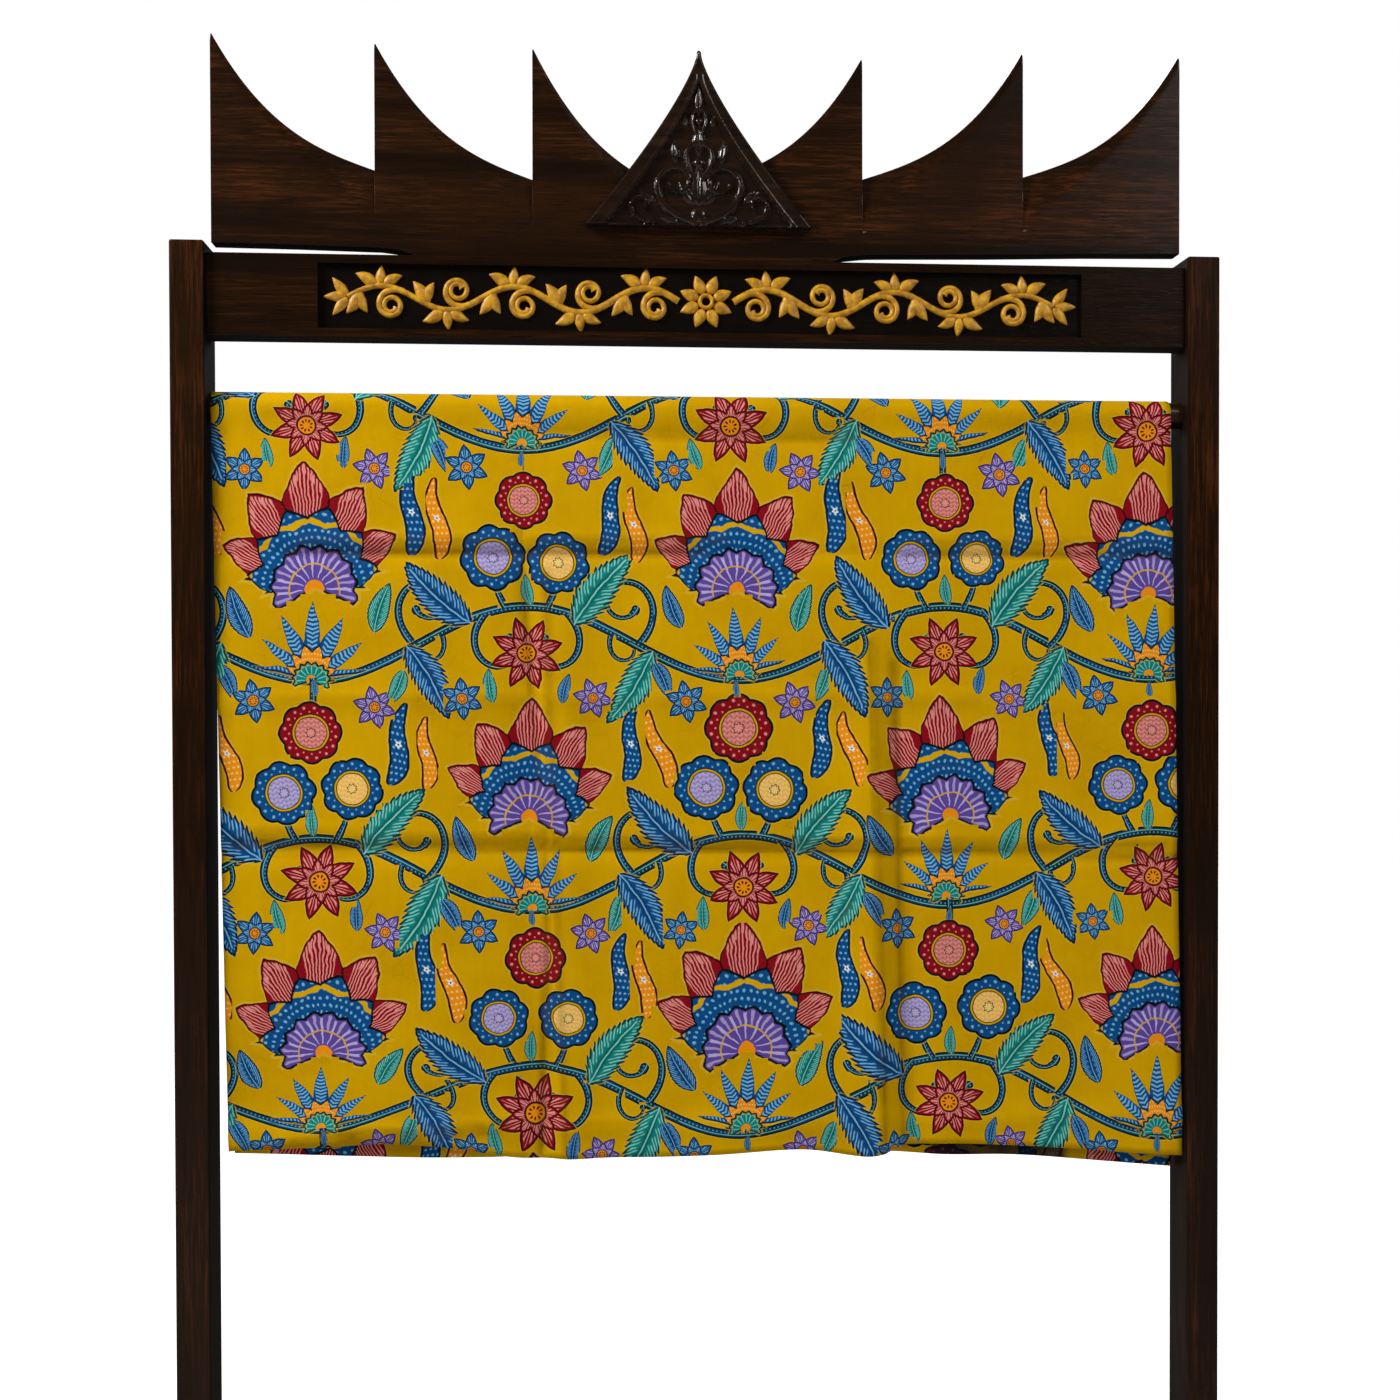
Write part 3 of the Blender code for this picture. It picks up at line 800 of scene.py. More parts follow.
def buildPediment():
    # columns run from one hollow side to the other and rows from the base to the apex;
    # the field inside the border lies deeper and carries the relief
    low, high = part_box("pediment")
    frontY, backY = low.y, high.y
    climb = np.linspace(0.0, 1.0, pediment["rows"]) ** pediment["rowCrowding"]
    rise = (pediment["base"] + (pediment["apex"] - pediment["base"]) * climb)[:, None]
    overTip = np.clip((rise - pediment["apex"]) / pediment["tipHeight"] + 1, 0.0, 1.0)
    half = np.hypot(pedimentHalf(rise, pediment["halfWidth"], pediment["apex"]), pediment["tipHalf"])
    half = np.maximum(half * np.sqrt(1 - overTip**2), 0.0004)
    spread = np.linspace(-1.0, 1.0, pediment["columns"])[None, :]
    x = half * spread
    fieldApex = pediment["apex"] - pediment["fieldDrop"]
    fieldHalf = pedimentHalf(rise, pediment["fieldHalf"], fieldApex)
    within = fieldHalf - np.abs(x)
    inField = ease(within, 0.0, pediment["fieldWall"]) * (rise < fieldApex)
    baseLine = 1 - ease(rise - pediment["base"], 0.0, pediment["baseWall"])
    z = np.broadcast_to(rise - pediment["base"], x.shape)
    relief = carvedHeight(x, z) * ease(within, *pediment["reliefEdge"])
    bead = swell(within, -pediment["beadPlace"], pediment["beadHalf"]) * (rise < fieldApex + 0.004)
    y = frontY + (pediment["fieldDepth"] - relief) * inField * (1 - 0.5 * baseLine)
    rim = 1 - ease(half * (1 - np.abs(spread)), 0.0, pediment["rim"] * 2)
    y = y + pediment["rim"] * rim**2 - bead * pediment["beadProud"]
    y = np.maximum(y, frontY - pediment["proudest"])
    front = np.stack([x + pediment["x"], y, np.broadcast_to(rise, x.shape) + crest["railTop"]], -1)
    back = front[:, [-1, 0], :].copy()
    back[:, :, 1] = backY
    points = np.concatenate([front, back], 1)
    rows, columns = points.shape[:2]
    quads = gridQuads(rows, columns, wrapColumns=True)
    foot = list(range(columns))[::-1]
    head = list(range((rows - 1) * columns, rows * columns))
    panel = makeMesh("pedimentPanel", points, quads, [foot, head], 32)
    paint = Paint("carvedBlackWood")
    grain = paint.noise(paint.stretched((0.10, 1.0, 1.0)), 150.0, 4.0, 0.6)
    cloud = paint.noise(paint.place(), 14.0, 3.0)
    streaks = grain.above(0.55, 0.3) * cloud.above(0.45, 0.4)
    colour = paint.mix(streaks, pediment["dark"], pediment["brown"])
    dimple = paint.noise(paint.place(), 260.0, 2.0)
    normal = paint.bump(dimple * 0.7 + grain * 0.5, carving["stipple"])
    rough = cloud * 0.12 + grain * 0.06 + 0.14
    paint.shader.inputs["Coat Roughness"].default_value = 0.07
    paint.shader.inputs["Specular IOR Level"].default_value = 0.30
    material = paint.feed(Base_Color=colour, Roughness=rough, Normal=normal, Coat_Weight=0.38)
    wear(panel, material)
    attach(panel, "root")
    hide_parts("pediment")
    return panel


buildPediment()
print("pediment is carved")

# Cloth: shape

cloth = {
    "width": 1.050,
    "length": 1.695,
    "thickness": 0.0006,
    "rodHeight": 1.3565,
    "radius": 0.01575,
    "hemFront": 0.540,
    "hemBack": 0.528,
    "hemShaping": 0.150,
    "leftTop": -0.5310,
    "leftHem": -0.5175,
    "rightTop": 0.5195,
    "rightHem": 0.5325,
    "columnStep": 0.0075,
    "rowStep": 0.0075,
    "foldOnset": 0.250,
    "waveGrowth": 1.3,
    "rodTangent": 0.020,
    # width of the painted shade along the pressed lines, and the line depth at which it is full
    "shadeHalf": 0.0042,
    "shadeFull": 0.0030,
    "thread": 0.0007,
    # where a dark band lies on the back fall near its hem
    "darkBandHeight": 0.812,
    "darkBandFrom": 0.247,
    "darkBandTo": 0.405,
    "fineHeights": (1.199, 1.213, 0.874, 0.887),
    "fineFractions": (0.318, 0.345, 0.662, 0.690),
    # heights of both hems at places across the cloth
    "hemX": [-0.516, -0.406, -0.356, -0.286, -0.201, -0.111, 0.004,
             0.104, 0.186, 0.219, 0.264, 0.339, 0.414, 0.5325],
    "hemFrontLine": [0.5548, 0.5582, 0.5610, 0.5555, 0.5405, 0.5395, 0.5400,
                     0.5435, 0.5358, 0.5436, 0.5450, 0.5408, 0.5358, 0.5270],
    "hemBackLine": [0.5438, 0.5372, 0.5355, 0.5335, 0.5335, 0.5360, 0.5350,
                    0.5378, 0.5330, 0.5290, 0.5240, 0.5213, 0.5147, 0.5045],
}
frontCreases = rowsOf(
    "z out half",
    (1.327, -0.0020, 0.020),
    (1.199, -0.0018, 0.008),
    (1.039, 0.0015, 0.012),
    (0.873, -0.0024, 0.009),
    (0.572, 0.0025, 0.012),
)
backCreases = rowsOf(
    "z out half",
    (1.199, 0.0030, 0.016),
    (0.873, -0.0035, 0.016),
)
frontFolds = rowsOf(
    "xTop xHem begin out half",
    (-0.203, -0.179, 1.280, -0.0050, 0.020),
    (-0.165, -0.146, 1.240, 0.0045, 0.024),
    (0.172, 0.186, 1.160, 0.0080, 0.024),
    (0.208, 0.224, 1.160, -0.0060, 0.022),
)
backFolds = rowsOf(
    "xTop xHem begin out half",
    (-0.178, -0.186, 1.240, 0.0060, 0.026),
    (0.176, 0.190, 1.200, -0.0060, 0.026),
)
frontWaves = rowsOf(
    "x out half",
    (-0.470, -0.0040, 0.070),
    (-0.330, 0.0060, 0.085),
    (0.020, 0.0045, 0.120),
    (0.340, -0.0035, 0.090),
    (0.500, 0.0050, 0.060),
)
backWaves = rowsOf(
    "x out half",
    (-0.420, 0.0060, 0.090),
    (-0.040, -0.0045, 0.110),
    (0.380, 0.0065, 0.095),
)
# sharp pressed lines on the front from one point to another: how far out they stand and how wide
pressedLines = rowsOf(
    "from to out half",
    ((-0.450, 1.198), (-0.005, 1.199), -0.0024, 0.0042),
    ((-0.440, 1.212), (0.020, 1.214), 0.0016, 0.0080),
    ((0.217, 1.198), (0.517, 1.198), -0.0020, 0.0042),
    ((0.225, 1.213), (0.505, 1.212), 0.0013, 0.0080),
    ((-0.500, 1.040), (0.300, 1.038), 0.0011, 0.0055),
    ((-0.512, 0.887), (0.022, 0.874), -0.0030, 0.0042),
    ((0.022, 0.874), (0.528, 0.863), -0.0028, 0.0042),
    ((-0.500, 0.898), (0.512, 0.876), 0.0017, 0.0080),
    ((-0.203, 1.223), (-0.174, 0.820), -0.0022, 0.0042),
    ((-0.174, 0.820), (-0.182, 0.548), -0.0030, 0.0042),
    ((-0.177, 1.180), (-0.156, 0.547), 0.0020, 0.0060),
    ((0.180, 1.104), (0.194, 0.540), 0.0026, 0.0050),
    ((0.207, 1.080), (0.220, 0.545), -0.0024, 0.0060),
    ((-0.190, 1.331), (0.165, 1.328), -0.0024, 0.0100),
    ((-0.475, 1.347), (-0.400, 1.346), -0.0010, 0.0040),
    ((-0.470, 0.560), (-0.394, 0.573), 0.0022, 0.0050),
    ((-0.394, 0.573), (-0.219, 0.579), 0.0020, 0.0050),
    ((-0.396, 0.565), (-0.221, 0.571), -0.0018, 0.0045),
    ((-0.219, 0.579), (-0.086, 0.575), 0.0008, 0.0050),
    ((0.200, 1.345), (0.500, 1.346), -0.0008, 0.0060),
)


def clothX(fraction, z):
    # across the width; the cloth hangs askew and drifts to the right as it falls
    hang = np.clip((cloth["rodHeight"] - z) / (cloth["rodHeight"] - cloth["hemFront"]), 0.0, 1.0)
    left = cloth["leftTop"] + (cloth["leftHem"] - cloth["leftTop"]) * hang
    right = cloth["rightTop"] + (cloth["rightHem"] - cloth["rightTop"]) * hang
    return left + (right - left) * fraction


def standOut(x, z, creases, folds, waves, hem):
    # how far a fall stands out: creases across it, upright folds and slow waves, added up
    hang = np.clip((cloth["rodHeight"] - z) / (cloth["rodHeight"] - hem), 0.0, 1.1)
    start = ease(cloth["rodHeight"] - z, 0.0, cloth["rodTangent"])
    out = np.zeros_like(x)
    for crease in creases:
        out = out + crease["out"] * start * swell(z, crease["z"], crease["half"])
    for fold in folds:
        line = fold["xTop"] + (fold["xHem"] - fold["xTop"]) * hang
        grow = 1 - ease(z, fold["begin"] - cloth["foldOnset"], fold["begin"])
        out = out + fold["out"] * grow * swell(x, line, fold["half"])
    for wave in waves:
        out = out + wave["out"] * hang ** cloth["waveGrowth"] * swell(x, wave["x"], wave["half"])
    return out


def slackness(x, z):
    # faint buckling of the cotton between its creases
    rise = ease(cloth["rodHeight"] - z, 0.0, 0.05)
    one = np.sin(x * 31 + np.sin(z * 17) * 1.6) * np.sin(z * 23 + x * 5)
    two = np.sin(x * 57 - z * 21) * np.sin(z * 43 + 1.3)
    return rise * (0.00055 * one + 0.00030 * two)


def clothSurface(fraction, along):
    # place of the sheet at a fraction of its width and a distance from the crown of the rod,
    # in front where that distance is negative: an arc over the rod, then an upright fall
    radius = cloth["radius"]
    angle = np.clip(np.abs(along) / radius, 0.0, math.pi / 2)
    drop = np.maximum(np.abs(along) - radius * math.pi / 2, 0.0)
    level = cloth["rodHeight"] + radius * np.cos(angle) - drop
    x = clothX(fraction, level)
    front = along < 0
    hem = np.where(front, cloth["hemFront"], cloth["hemBack"])
    frontLine = smoothLine(x, cloth["hemX"], cloth["hemFrontLine"])
    backLine = smoothLine(x, cloth["hemX"], cloth["hemBackLine"])
    line = np.where(front, frontLine, backLine)
    z = level + (line - hem) * (1 - ease(level, hem, hem + cloth["hemShaping"]))
    outFront = standOut(x, z, frontCreases, frontFolds, frontWaves, cloth["hemFront"])
    for press in pressedLines:
        far = toSegment(x, z, *press["from"], *press["to"])
        outFront = outFront + press["out"] * swell(far, 0.0, press["half"])
    outBack = standOut(x, z, backCreases, backFolds, backWaves, cloth["hemBack"])
    out = np.where(front, outFront, outBack) + slackness(x, z)
    out = out * ease(drop, 0.0, cloth["rodTangent"])
    y = np.where(front, -1, 1) * (radius * np.sin(angle) + out)
    return np.stack([x, y, z], -1)


def pressedShade(x, z, front):
    # painted shade along each pressed line of the front, as a share of full darkness: a hump across
    # the line, as high as the line is deep
    dark = np.zeros_like(x)
    for press in pressedLines:
        far = toSegment(x, z, *press["from"], *press["to"])
        shadeOnLine = swell(far, 0.0, cloth["shadeHalf"]) * abs(press["out"]) / cloth["shadeFull"]
        dark = np.maximum(dark, shadeOnLine)
    return np.where(front, np.clip(dark, 0.0, 1.0), 0.0)


def clothRows():
    # distances of the rows from the crown, closer together at the pressed creases and on the rod
    arc = cloth["radius"] * math.pi / 2
    front = arc + cloth["rodHeight"] - cloth["hemFront"]
    back = arc + cloth["rodHeight"] - cloth["hemBack"]
    rows = list(np.linspace(-front, -arc, round((front - arc) / cloth["rowStep"]) + 1))
    rows += list(np.linspace(-arc, arc, 19)[1:-1])
    rows += list(np.linspace(arc, back, round((back - arc) / cloth["rowStep"]) + 1))
    for z in cloth["fineHeights"]:
        rows += [-(arc + cloth["rodHeight"] - z) + step for step in (-0.0025, 0.0025)]
    rows = np.sort(np.array(rows))
    return rows[np.concatenate([[True], np.diff(rows) > 0.0012])]


def clothColumns():
    steps = round(cloth["width"] / cloth["columnStep"])
    fractions = list(np.linspace(0.0, 1.0, steps + 1))
    for centre in cloth["fineFractions"]:
        fractions += [centre + step for step in (-0.0058, -0.0026, 0.0, 0.0026, 0.0058)]
    fractions = np.sort(np.array(fractions))
    return fractions[np.concatenate([[True], np.diff(fractions) > 0.0011])]


# Cloth: the drawn pattern. Rows of a waving vine carry flowers, buds, leaves, drops and medallions

pattern = {
    "repeat": 0.460,
    "rowPitch": 0.250,
    "firstRow": -1.030,
    "rows": 9,
    "shift": 0.036,
    "waveHeight": 0.040,
    "vineHalf": 0.0052,
    "curlTaper": 0.50,
    "knob": 0.60,
    "jitter": 0.0022,
    "tiltJitter": 0.07,
    "sizeJitter": 0.04,
    "seed": 7,
    "shake": 0.085,
    "shakeScale": 60.0,
    "sliceFaces": 1500,
}
flower, medallion, blade, fan = 1, 2, 3, 4
# s, t from the middle line of a vine below the top of its wave in metres, tilt in degrees, size,
# kind of motif and its colouring
motifRow = rowsOf(
    "s t tilt size kind look",
    (0.000, -0.012, 0, 0.0430, flower, 0),
    (0.230, 0.116, 0, 0.0800, fan, 0),
    (0.230, -0.002, 0, 0.0460, fan, 1),
    (-0.0385, 0.091, 10, 0.0355, medallion, 0),
    (0.0385, 0.091, -10, 0.0355, medallion, 1),
    (0.000, 0.156, 0, 0.0345, medallion, 2),
    (0.092, 0.142, 78, 0.0450, blade, 2),
    (0.121, 0.132, 96, 0.0420, blade, 3),
    (0.062, 0.186, 15, 0.0240, flower, 1),
    (-0.092, 0.134, 100, 0.0420, blade, 3),
    (-0.120, 0.143, 86, 0.0450, blade, 2),
    (-0.062, 0.188, 5, 0.0240, flower, 2),
    (0.160, 0.188, 0, 0.0230, flower, 2),
    (-0.160, 0.190, 20, 0.0230, flower, 1),
    (0.087, 0.057, 48, 0.0500, blade, 0),
    (-0.090, 0.055, 134, 0.0500, blade, 1),
    (0.120, 0.208, -60, 0.0470, blade, 1),
    (-0.120, 0.208, 240, 0.0470, blade, 0),
    (0.088, 0.2055, -112, 0.0230, blade, 5),
    (-0.088, 0.2055, 292, 0.0230, blade, 4),
    (0.157, 0.036, 112, 0.0270, blade, 4),
    (-0.157, 0.036, 68, 0.0270, blade, 5),
    (0.000, 0.200, 90, 0.0090, blade, 4),
    (0.000, 0.060, 90, 0.0170, blade, 5),
    (0.188, 0.205, 100, 0.0180, blade, 5),
    (-0.188, 0.205, 80, 0.0180, blade, 4),
)
# curls that leave a vine: place along it, heading against it, length, turning, its tightening and
# how thick they are beside the vine
curlRow = rowsOf(
    "s angle length turn tighten share",
    (0.120, 0.80, 0.170, 12.0, 320.0, 0.86),
    (0.340, 2.34, 0.170, -12.0, -320.0, 0.86),
    (0.044, -0.85, 0.120, -15.0, -420.0, 0.86),
    (0.416, -2.29, 0.120, 15.0, 420.0, 0.86),
    (0.022, 1.05, 0.040, 6.0, 200.0, 0.80),
    (0.438, 2.09, 0.040, -6.0, -200.0, 0.80),
    (0.230, 1.57, 0.010, 0.0, 0.0, 0.80),
    (0.092, -1.95, 0.058, 20.0, 1500.0, 0.60),
    (0.368, -1.19, 0.058, -20.0, -1500.0, 0.60),
)
# how far each kind reaches across and up in its sizes
reaches = {flower: (1.0, 1.0), medallion: (1.0, 1.0), blade: (1.0, 0.42)}
# a fan's outline about its foot: the lean from upright and the reach there
fanLean = [0.0, 1.36, 1.43, 1.60, 1.67, 2.02, 2.10, 3.20]
fanReach = [1.77, 1.29, 0.97, 0.90, 0.67, 0.65, 0.05, 0.05]


def vineHeight(s):
    return pattern["waveHeight"] * np.cos(twoPi * s / pattern["repeat"])


def rowOrigins():
    # left start and height of each vine, every other one moved by half a repeat
    origins = []
    for row in range(pattern["rows"]):
        start = pattern["shift"] + (row % 2) * pattern["repeat"] / 2
        for column in range(-2, 3):
            across = start + column * pattern["repeat"]
            origins.append((across, pattern["firstRow"] + row * pattern["rowPitch"]))
    return origins


def layMotifs():
    # centre, tilt, size, kind and colouring of every motif, each a little off as if by hand
    random = np.random.default_rng(pattern["seed"])
    laid = []
    for s, t in rowOrigins():
        for motif in motifRow:
            off = random.normal(0.0, 1.0, 4)
            laid.append((
                s + motif["s"] + off[0] * pattern["jitter"],
                t + motif["t"] + off[1] * pattern["jitter"],
                math.radians(motif["tilt"]) + off[2] * pattern["tiltJitter"],
                motif["size"] * (1 + off[3] * pattern["sizeJitter"]),
                motif["kind"],
                motif["look"],
            ))
    return np.array(laid)


def layStems():
    # every vine and curl as points with run, half width, heading and radius of bend
    paths = []
    s = np.linspace(-0.60, 0.60, 700)
    for row in range(pattern["rows"]):
        start = pattern["shift"] + (row % 2) * pattern["repeat"] / 2
        t = pattern["firstRow"] + row * pattern["rowPitch"] + vineHeight(s - start)
        paths.append((np.stack([s, t], 1), np.full(len(s), pattern["vineHalf"])))
    for left, base in rowOrigins():
        for curl in curlRow:
            course = [curl[key] for key in ("angle", "length", "turn", "tighten")]
            path = curlPath(left + curl["s"], base + vineHeight(curl["s"]), *course)
            u = np.linspace(0, 1, len(path))
            taper = 1 - pattern["curlTaper"] * u**1.5 + pattern["knob"] * swell(u, 1.0, 0.045)
            paths.append((path, pattern["vineHalf"] * curl["share"] * taper))
    points, runs, halves, headings, bends, ends = [], [], [], [], [], []
    for path, half in paths:
        step = np.gradient(path, axis=0)
        pace = np.hypot(step[:, 0], step[:, 1])
        angle = np.unwrap(np.arctan2(step[:, 1], step[:, 0]))
        points.append(path)
        runs.append(np.cumsum(pace))
        halves.append(half)
        headings.append(angle)
        bends.append(np.gradient(angle) / pace)
        ends.append(np.arange(len(path)) == len(path) - 1)
    return tuple(np.concatenate(part) for part in (points, runs, halves, headings, bends, ends))


def nearestIndex(places, points):
    # number of the nearest point to each place, worked out in slices to save memory
    slices = np.array_split(places.astype(np.float32), len(places) // pattern["sliceFaces"] + 1)
    acrossAll, upAll = points.astype(np.float32).T
    return np.concatenate([
        ((part[:, :1] - acrossAll) ** 2 + (part[:, 1:] - upAll) ** 2).argmin(1) for part in slices
    ])


def motifOwners(centres):
    # number of the motif that each face belongs to: the one whose oval reaches it first
    laid = layMotifs()
    owner = np.zeros(len(centres), int)
    best = np.full(len(centres), np.inf)
    for number, (s, t, tilt, size, kind, look) in enumerate(laid):
        dx, dy = centres[:, 0] - s, centres[:, 1] - t
        across = (dx * math.cos(tilt) + dy * math.sin(tilt)) / size
        up = (dy * math.cos(tilt) - dx * math.sin(tilt)) / size
        if int(kind) == fan:
            low = up + 0.75
            lean = np.abs(np.arctan2(across, low))
            far = (np.hypot(across, low) - np.interp(lean, fanLean, fanReach)) * size
        else:
            long, wide = reaches[int(kind)]
            far = (np.hypot(across / long, up / wide) - 1) * size * min(long, wide)
        closer = far < best
        best[closer] = far[closer]
        owner[closer] = number
    return laid[owner]


def drawPattern(mesh, flat, dark):
    # writes at every corner of the mesh its place on the cut cloth and within the motif that owns its
    # face, and its place about the middle of the bend of the nearest stem
    corners = np.empty(len(mesh.loops), np.int32)
    mesh.loops.foreach_get("vertex_index", corners)
    place = flat[corners].reshape(-1, 4, 2)
    centres = place.mean(1)
    owned = motifOwners(centres)[:, None, :]
    dx, dy = place[..., 0] - owned[..., 0], place[..., 1] - owned[..., 1]
    cosine, sine = np.cos(owned[..., 2]), np.sin(owned[..., 2])
    motifX = (dx * cosine + dy * sine) / owned[..., 3]
    motifY = (dy * cosine - dx * sine) / owned[..., 3]
    kind = np.broadcast_to(owned[..., 4], motifX.shape)
    look = np.broadcast_to(owned[..., 5], motifX.shape)
    points, runs, halves, headings, bends, ends = layStems()
    near = nearestIndex(centres, points)
    bend = np.clip(bends[near], -150.0, 150.0)
    bend = np.where(np.abs(bend) < 0.4, np.where(bend < 0, -0.4, 0.4), bend)
    heading = headings[near]
    normal = np.stack([-np.sin(heading), np.cos(heading)], 1)
    middle = points[near] + normal / bend[:, None]
    fromMiddle = place - middle[:, None, :]
    tangent = np.stack([np.cos(heading), np.sin(heading)], 1)
    offset = place - points[near][:, None, :]
    ahead = (offset * tangent[:, None, :]).sum(-1)
    run = runs[near][:, None] + ahead
    past = np.where(ends[near][:, None], ahead, -0.01)
    radius = np.broadcast_to(np.abs(1 / bend)[:, None], run.shape)
    half = np.broadcast_to(halves[near][:, None], run.shape)
    none = np.zeros_like(run)
    fields = {
        "clothPlace": (place[..., 0], place[..., 1], none),
        # painted shade of the pressed creases at each corner
        "clothDark": (dark[corners].reshape(-1, 4), none, none),
        "motifPlace": (motifX, motifY, none),
        "motifKind": (kind, look, none),
        "stemArc": (fromMiddle[..., 0], fromMiddle[..., 1], radius),
        "stemRun": (run, half, past),
    }
    for name, parts in fields.items():
        layer = mesh.attributes.new(name, "FLOAT_VECTOR", "CORNER")
        layer.data.foreach_set("vector", np.stack(parts, -1).astype(np.float32).reshape(-1))


# Cloth: its dyes

dyes = {
    "yellow": tint(224, 173, 0),
    "deepYellow": tint(205, 153, 0),
    "halo": tint(226, 194, 70),
    "outline": tint(2, 18, 26),
    "navy": tint(2, 30, 60),
    "blue": tint(4, 78, 138),
    "sky": tint(122, 186, 226),
    "palest": tint(240, 244, 244),
    "teal": tint(8, 134, 124),
    "deepTeal": tint(0, 54, 64),
    "aqua": tint(136, 214, 204),
    "maroon": tint(142, 8, 28),
    "deepMaroon": tint(64, 2, 12),
    "pink": tint(238, 150, 140),
    "orange": tint(248, 150, 20),
    "cream": tint(250, 212, 124),
    "violet": tint(98, 74, 160),
    "deepViolet": tint(38, 22, 74),
    "lilac": tint(192, 180, 226),
    "speck": tint(120, 88, 6),
    "crack": tint(110, 84, 20),
    "bled": tint(60, 46, 10),
    # dark band on the back fall near its hem
    "darkBand": tint(14, 22, 34),
    # painted shade in the pressed creases
    "wearAndCreaseShade": tint(66, 42, 0),
    "shadedThread": tint(70, 56, 4),
}


def byLook(paint, look, choices):
    # the colour of each colouring: the first one, changed wherever another number is met
    colour = dyes[choices[0]]
    for number, name in list(enumerate(choices))[1:]:
        colour = paint.mix(look.near(number), colour, dyes[name])
    return colour


def drawFlower(paint, x, y, look):
    # petals folded round the middle: pointed rim, veins, a second ring and a dotted heart
    far = (x * x + y * y).sqrt()
    turn = y.turn(x)
    fold = abs((turn * (8 - look.least(1) * 2)).fract() - 0.5) * 2
    inside = (1 - fold**0.9 * 0.44) - far
    veins = (fold * 17.0 + far * 1.5).cos().above(0.05, 0.5)
    edge = byLook(paint, look, ["deepMaroon", "deepViolet", "navy"])
    body = byLook(paint, look, ["maroon", "violet", "blue"])
    pale = byLook(paint, look, ["pink", "lilac", "sky"])
    colour = paint.mix(inside.above(0.07, 0.02), edge, body)
    colour = paint.mix(inside.above(0.14, 0.03) * veins, colour, pale)
    inner = (0.60 - (1 - fold) ** 0.9 * 0.22) - far
    colour = paint.mix(inner.above(0.0, 0.02), colour, edge)
    colour = paint.mix(inner.above(0.05, 0.02), colour, body)
    colour = paint.mix(inner.above(0.10, 0.03) * (1 - veins), colour, pale)
    colour = paint.mix((0.27 - far).above(0.0, 0.02), colour, edge)
    colour = paint.mix((0.22 - far).above(0.0, 0.02), colour, dyes["orange"])
    seeds = ((turn * 9).fract() - 0.5) * 0.8
    dot = 0.045 - (seeds * seeds * 0.05 + (far - 0.13) * (far - 0.13)).sqrt()
    colour = paint.mix(dot.above(0.0, 0.02), colour, edge)
    return inside, colour


def drawMedallion(paint, x, y, look):
    # lobed disc: dotted rim, a bare ring of ground and a hatched heart
    far = (x * x + y * y).sqrt()
    turn = y.turn(x)
    lobes = abs((turn * math.pi * 8).cos())
    inside = (0.90 + lobes * 0.10) - far
    rim = byLook(paint, look, ["blue", "blue", "maroon"])
    bead = byLook(paint, look, ["sky", "sky", "pink"])
    heart = byLook(paint, look, ["lilac", "cream", "pink"])
    thread = byLook(paint, look, ["violet", "orange", "maroon"])
    colour = paint.mix(inside.above(0.075, 0.02), dyes["outline"], rim)
    step = (turn * 16).fract() - 0.5
    outer = 0.044 - ((step * 0.31) * (step * 0.31) + (far - 0.79) * (far - 0.79)).sqrt()
    half = (turn * 16 + 0.5).fract() - 0.5
    inner = 0.026 - ((half * 0.25) * (half * 0.25) + (far - 0.655) * (far - 0.655)).sqrt()
    colour = paint.mix(outer.most(inner).above(0.0, 0.02), colour, bead)
    colour = paint.mix((0.585 - far).above(0.0, 0.02), colour, dyes["outline"])
    colour = paint.mix((0.555 - far).above(0.0, 0.02), colour, dyes["yellow"])
    colour = paint.mix((0.505 - far).above(0.0, 0.02), colour, dyes["outline"])
    hatch = (y * 44.0 + (x * 34.0).sin() * 1.3).sin().above(0.1, 0.7)
    weft = (x * 52.0).sin().above(0.2, 0.6)
    filled = paint.mix(hatch * 0.70 + weft * 0.30, heart, thread)
    filled = paint.mix(0.55, heart, filled)
    star = (0.085 + lobes * 0.055) - far
    filled = paint.mix(star.above(-0.03, 0.02), filled, dyes["outline"])
    filled = paint.mix(star.above(0.0, 0.02), filled, heart)
    colour = paint.mix((0.475 - far).above(0.0, 0.02), colour, filled)
    return inside, colour


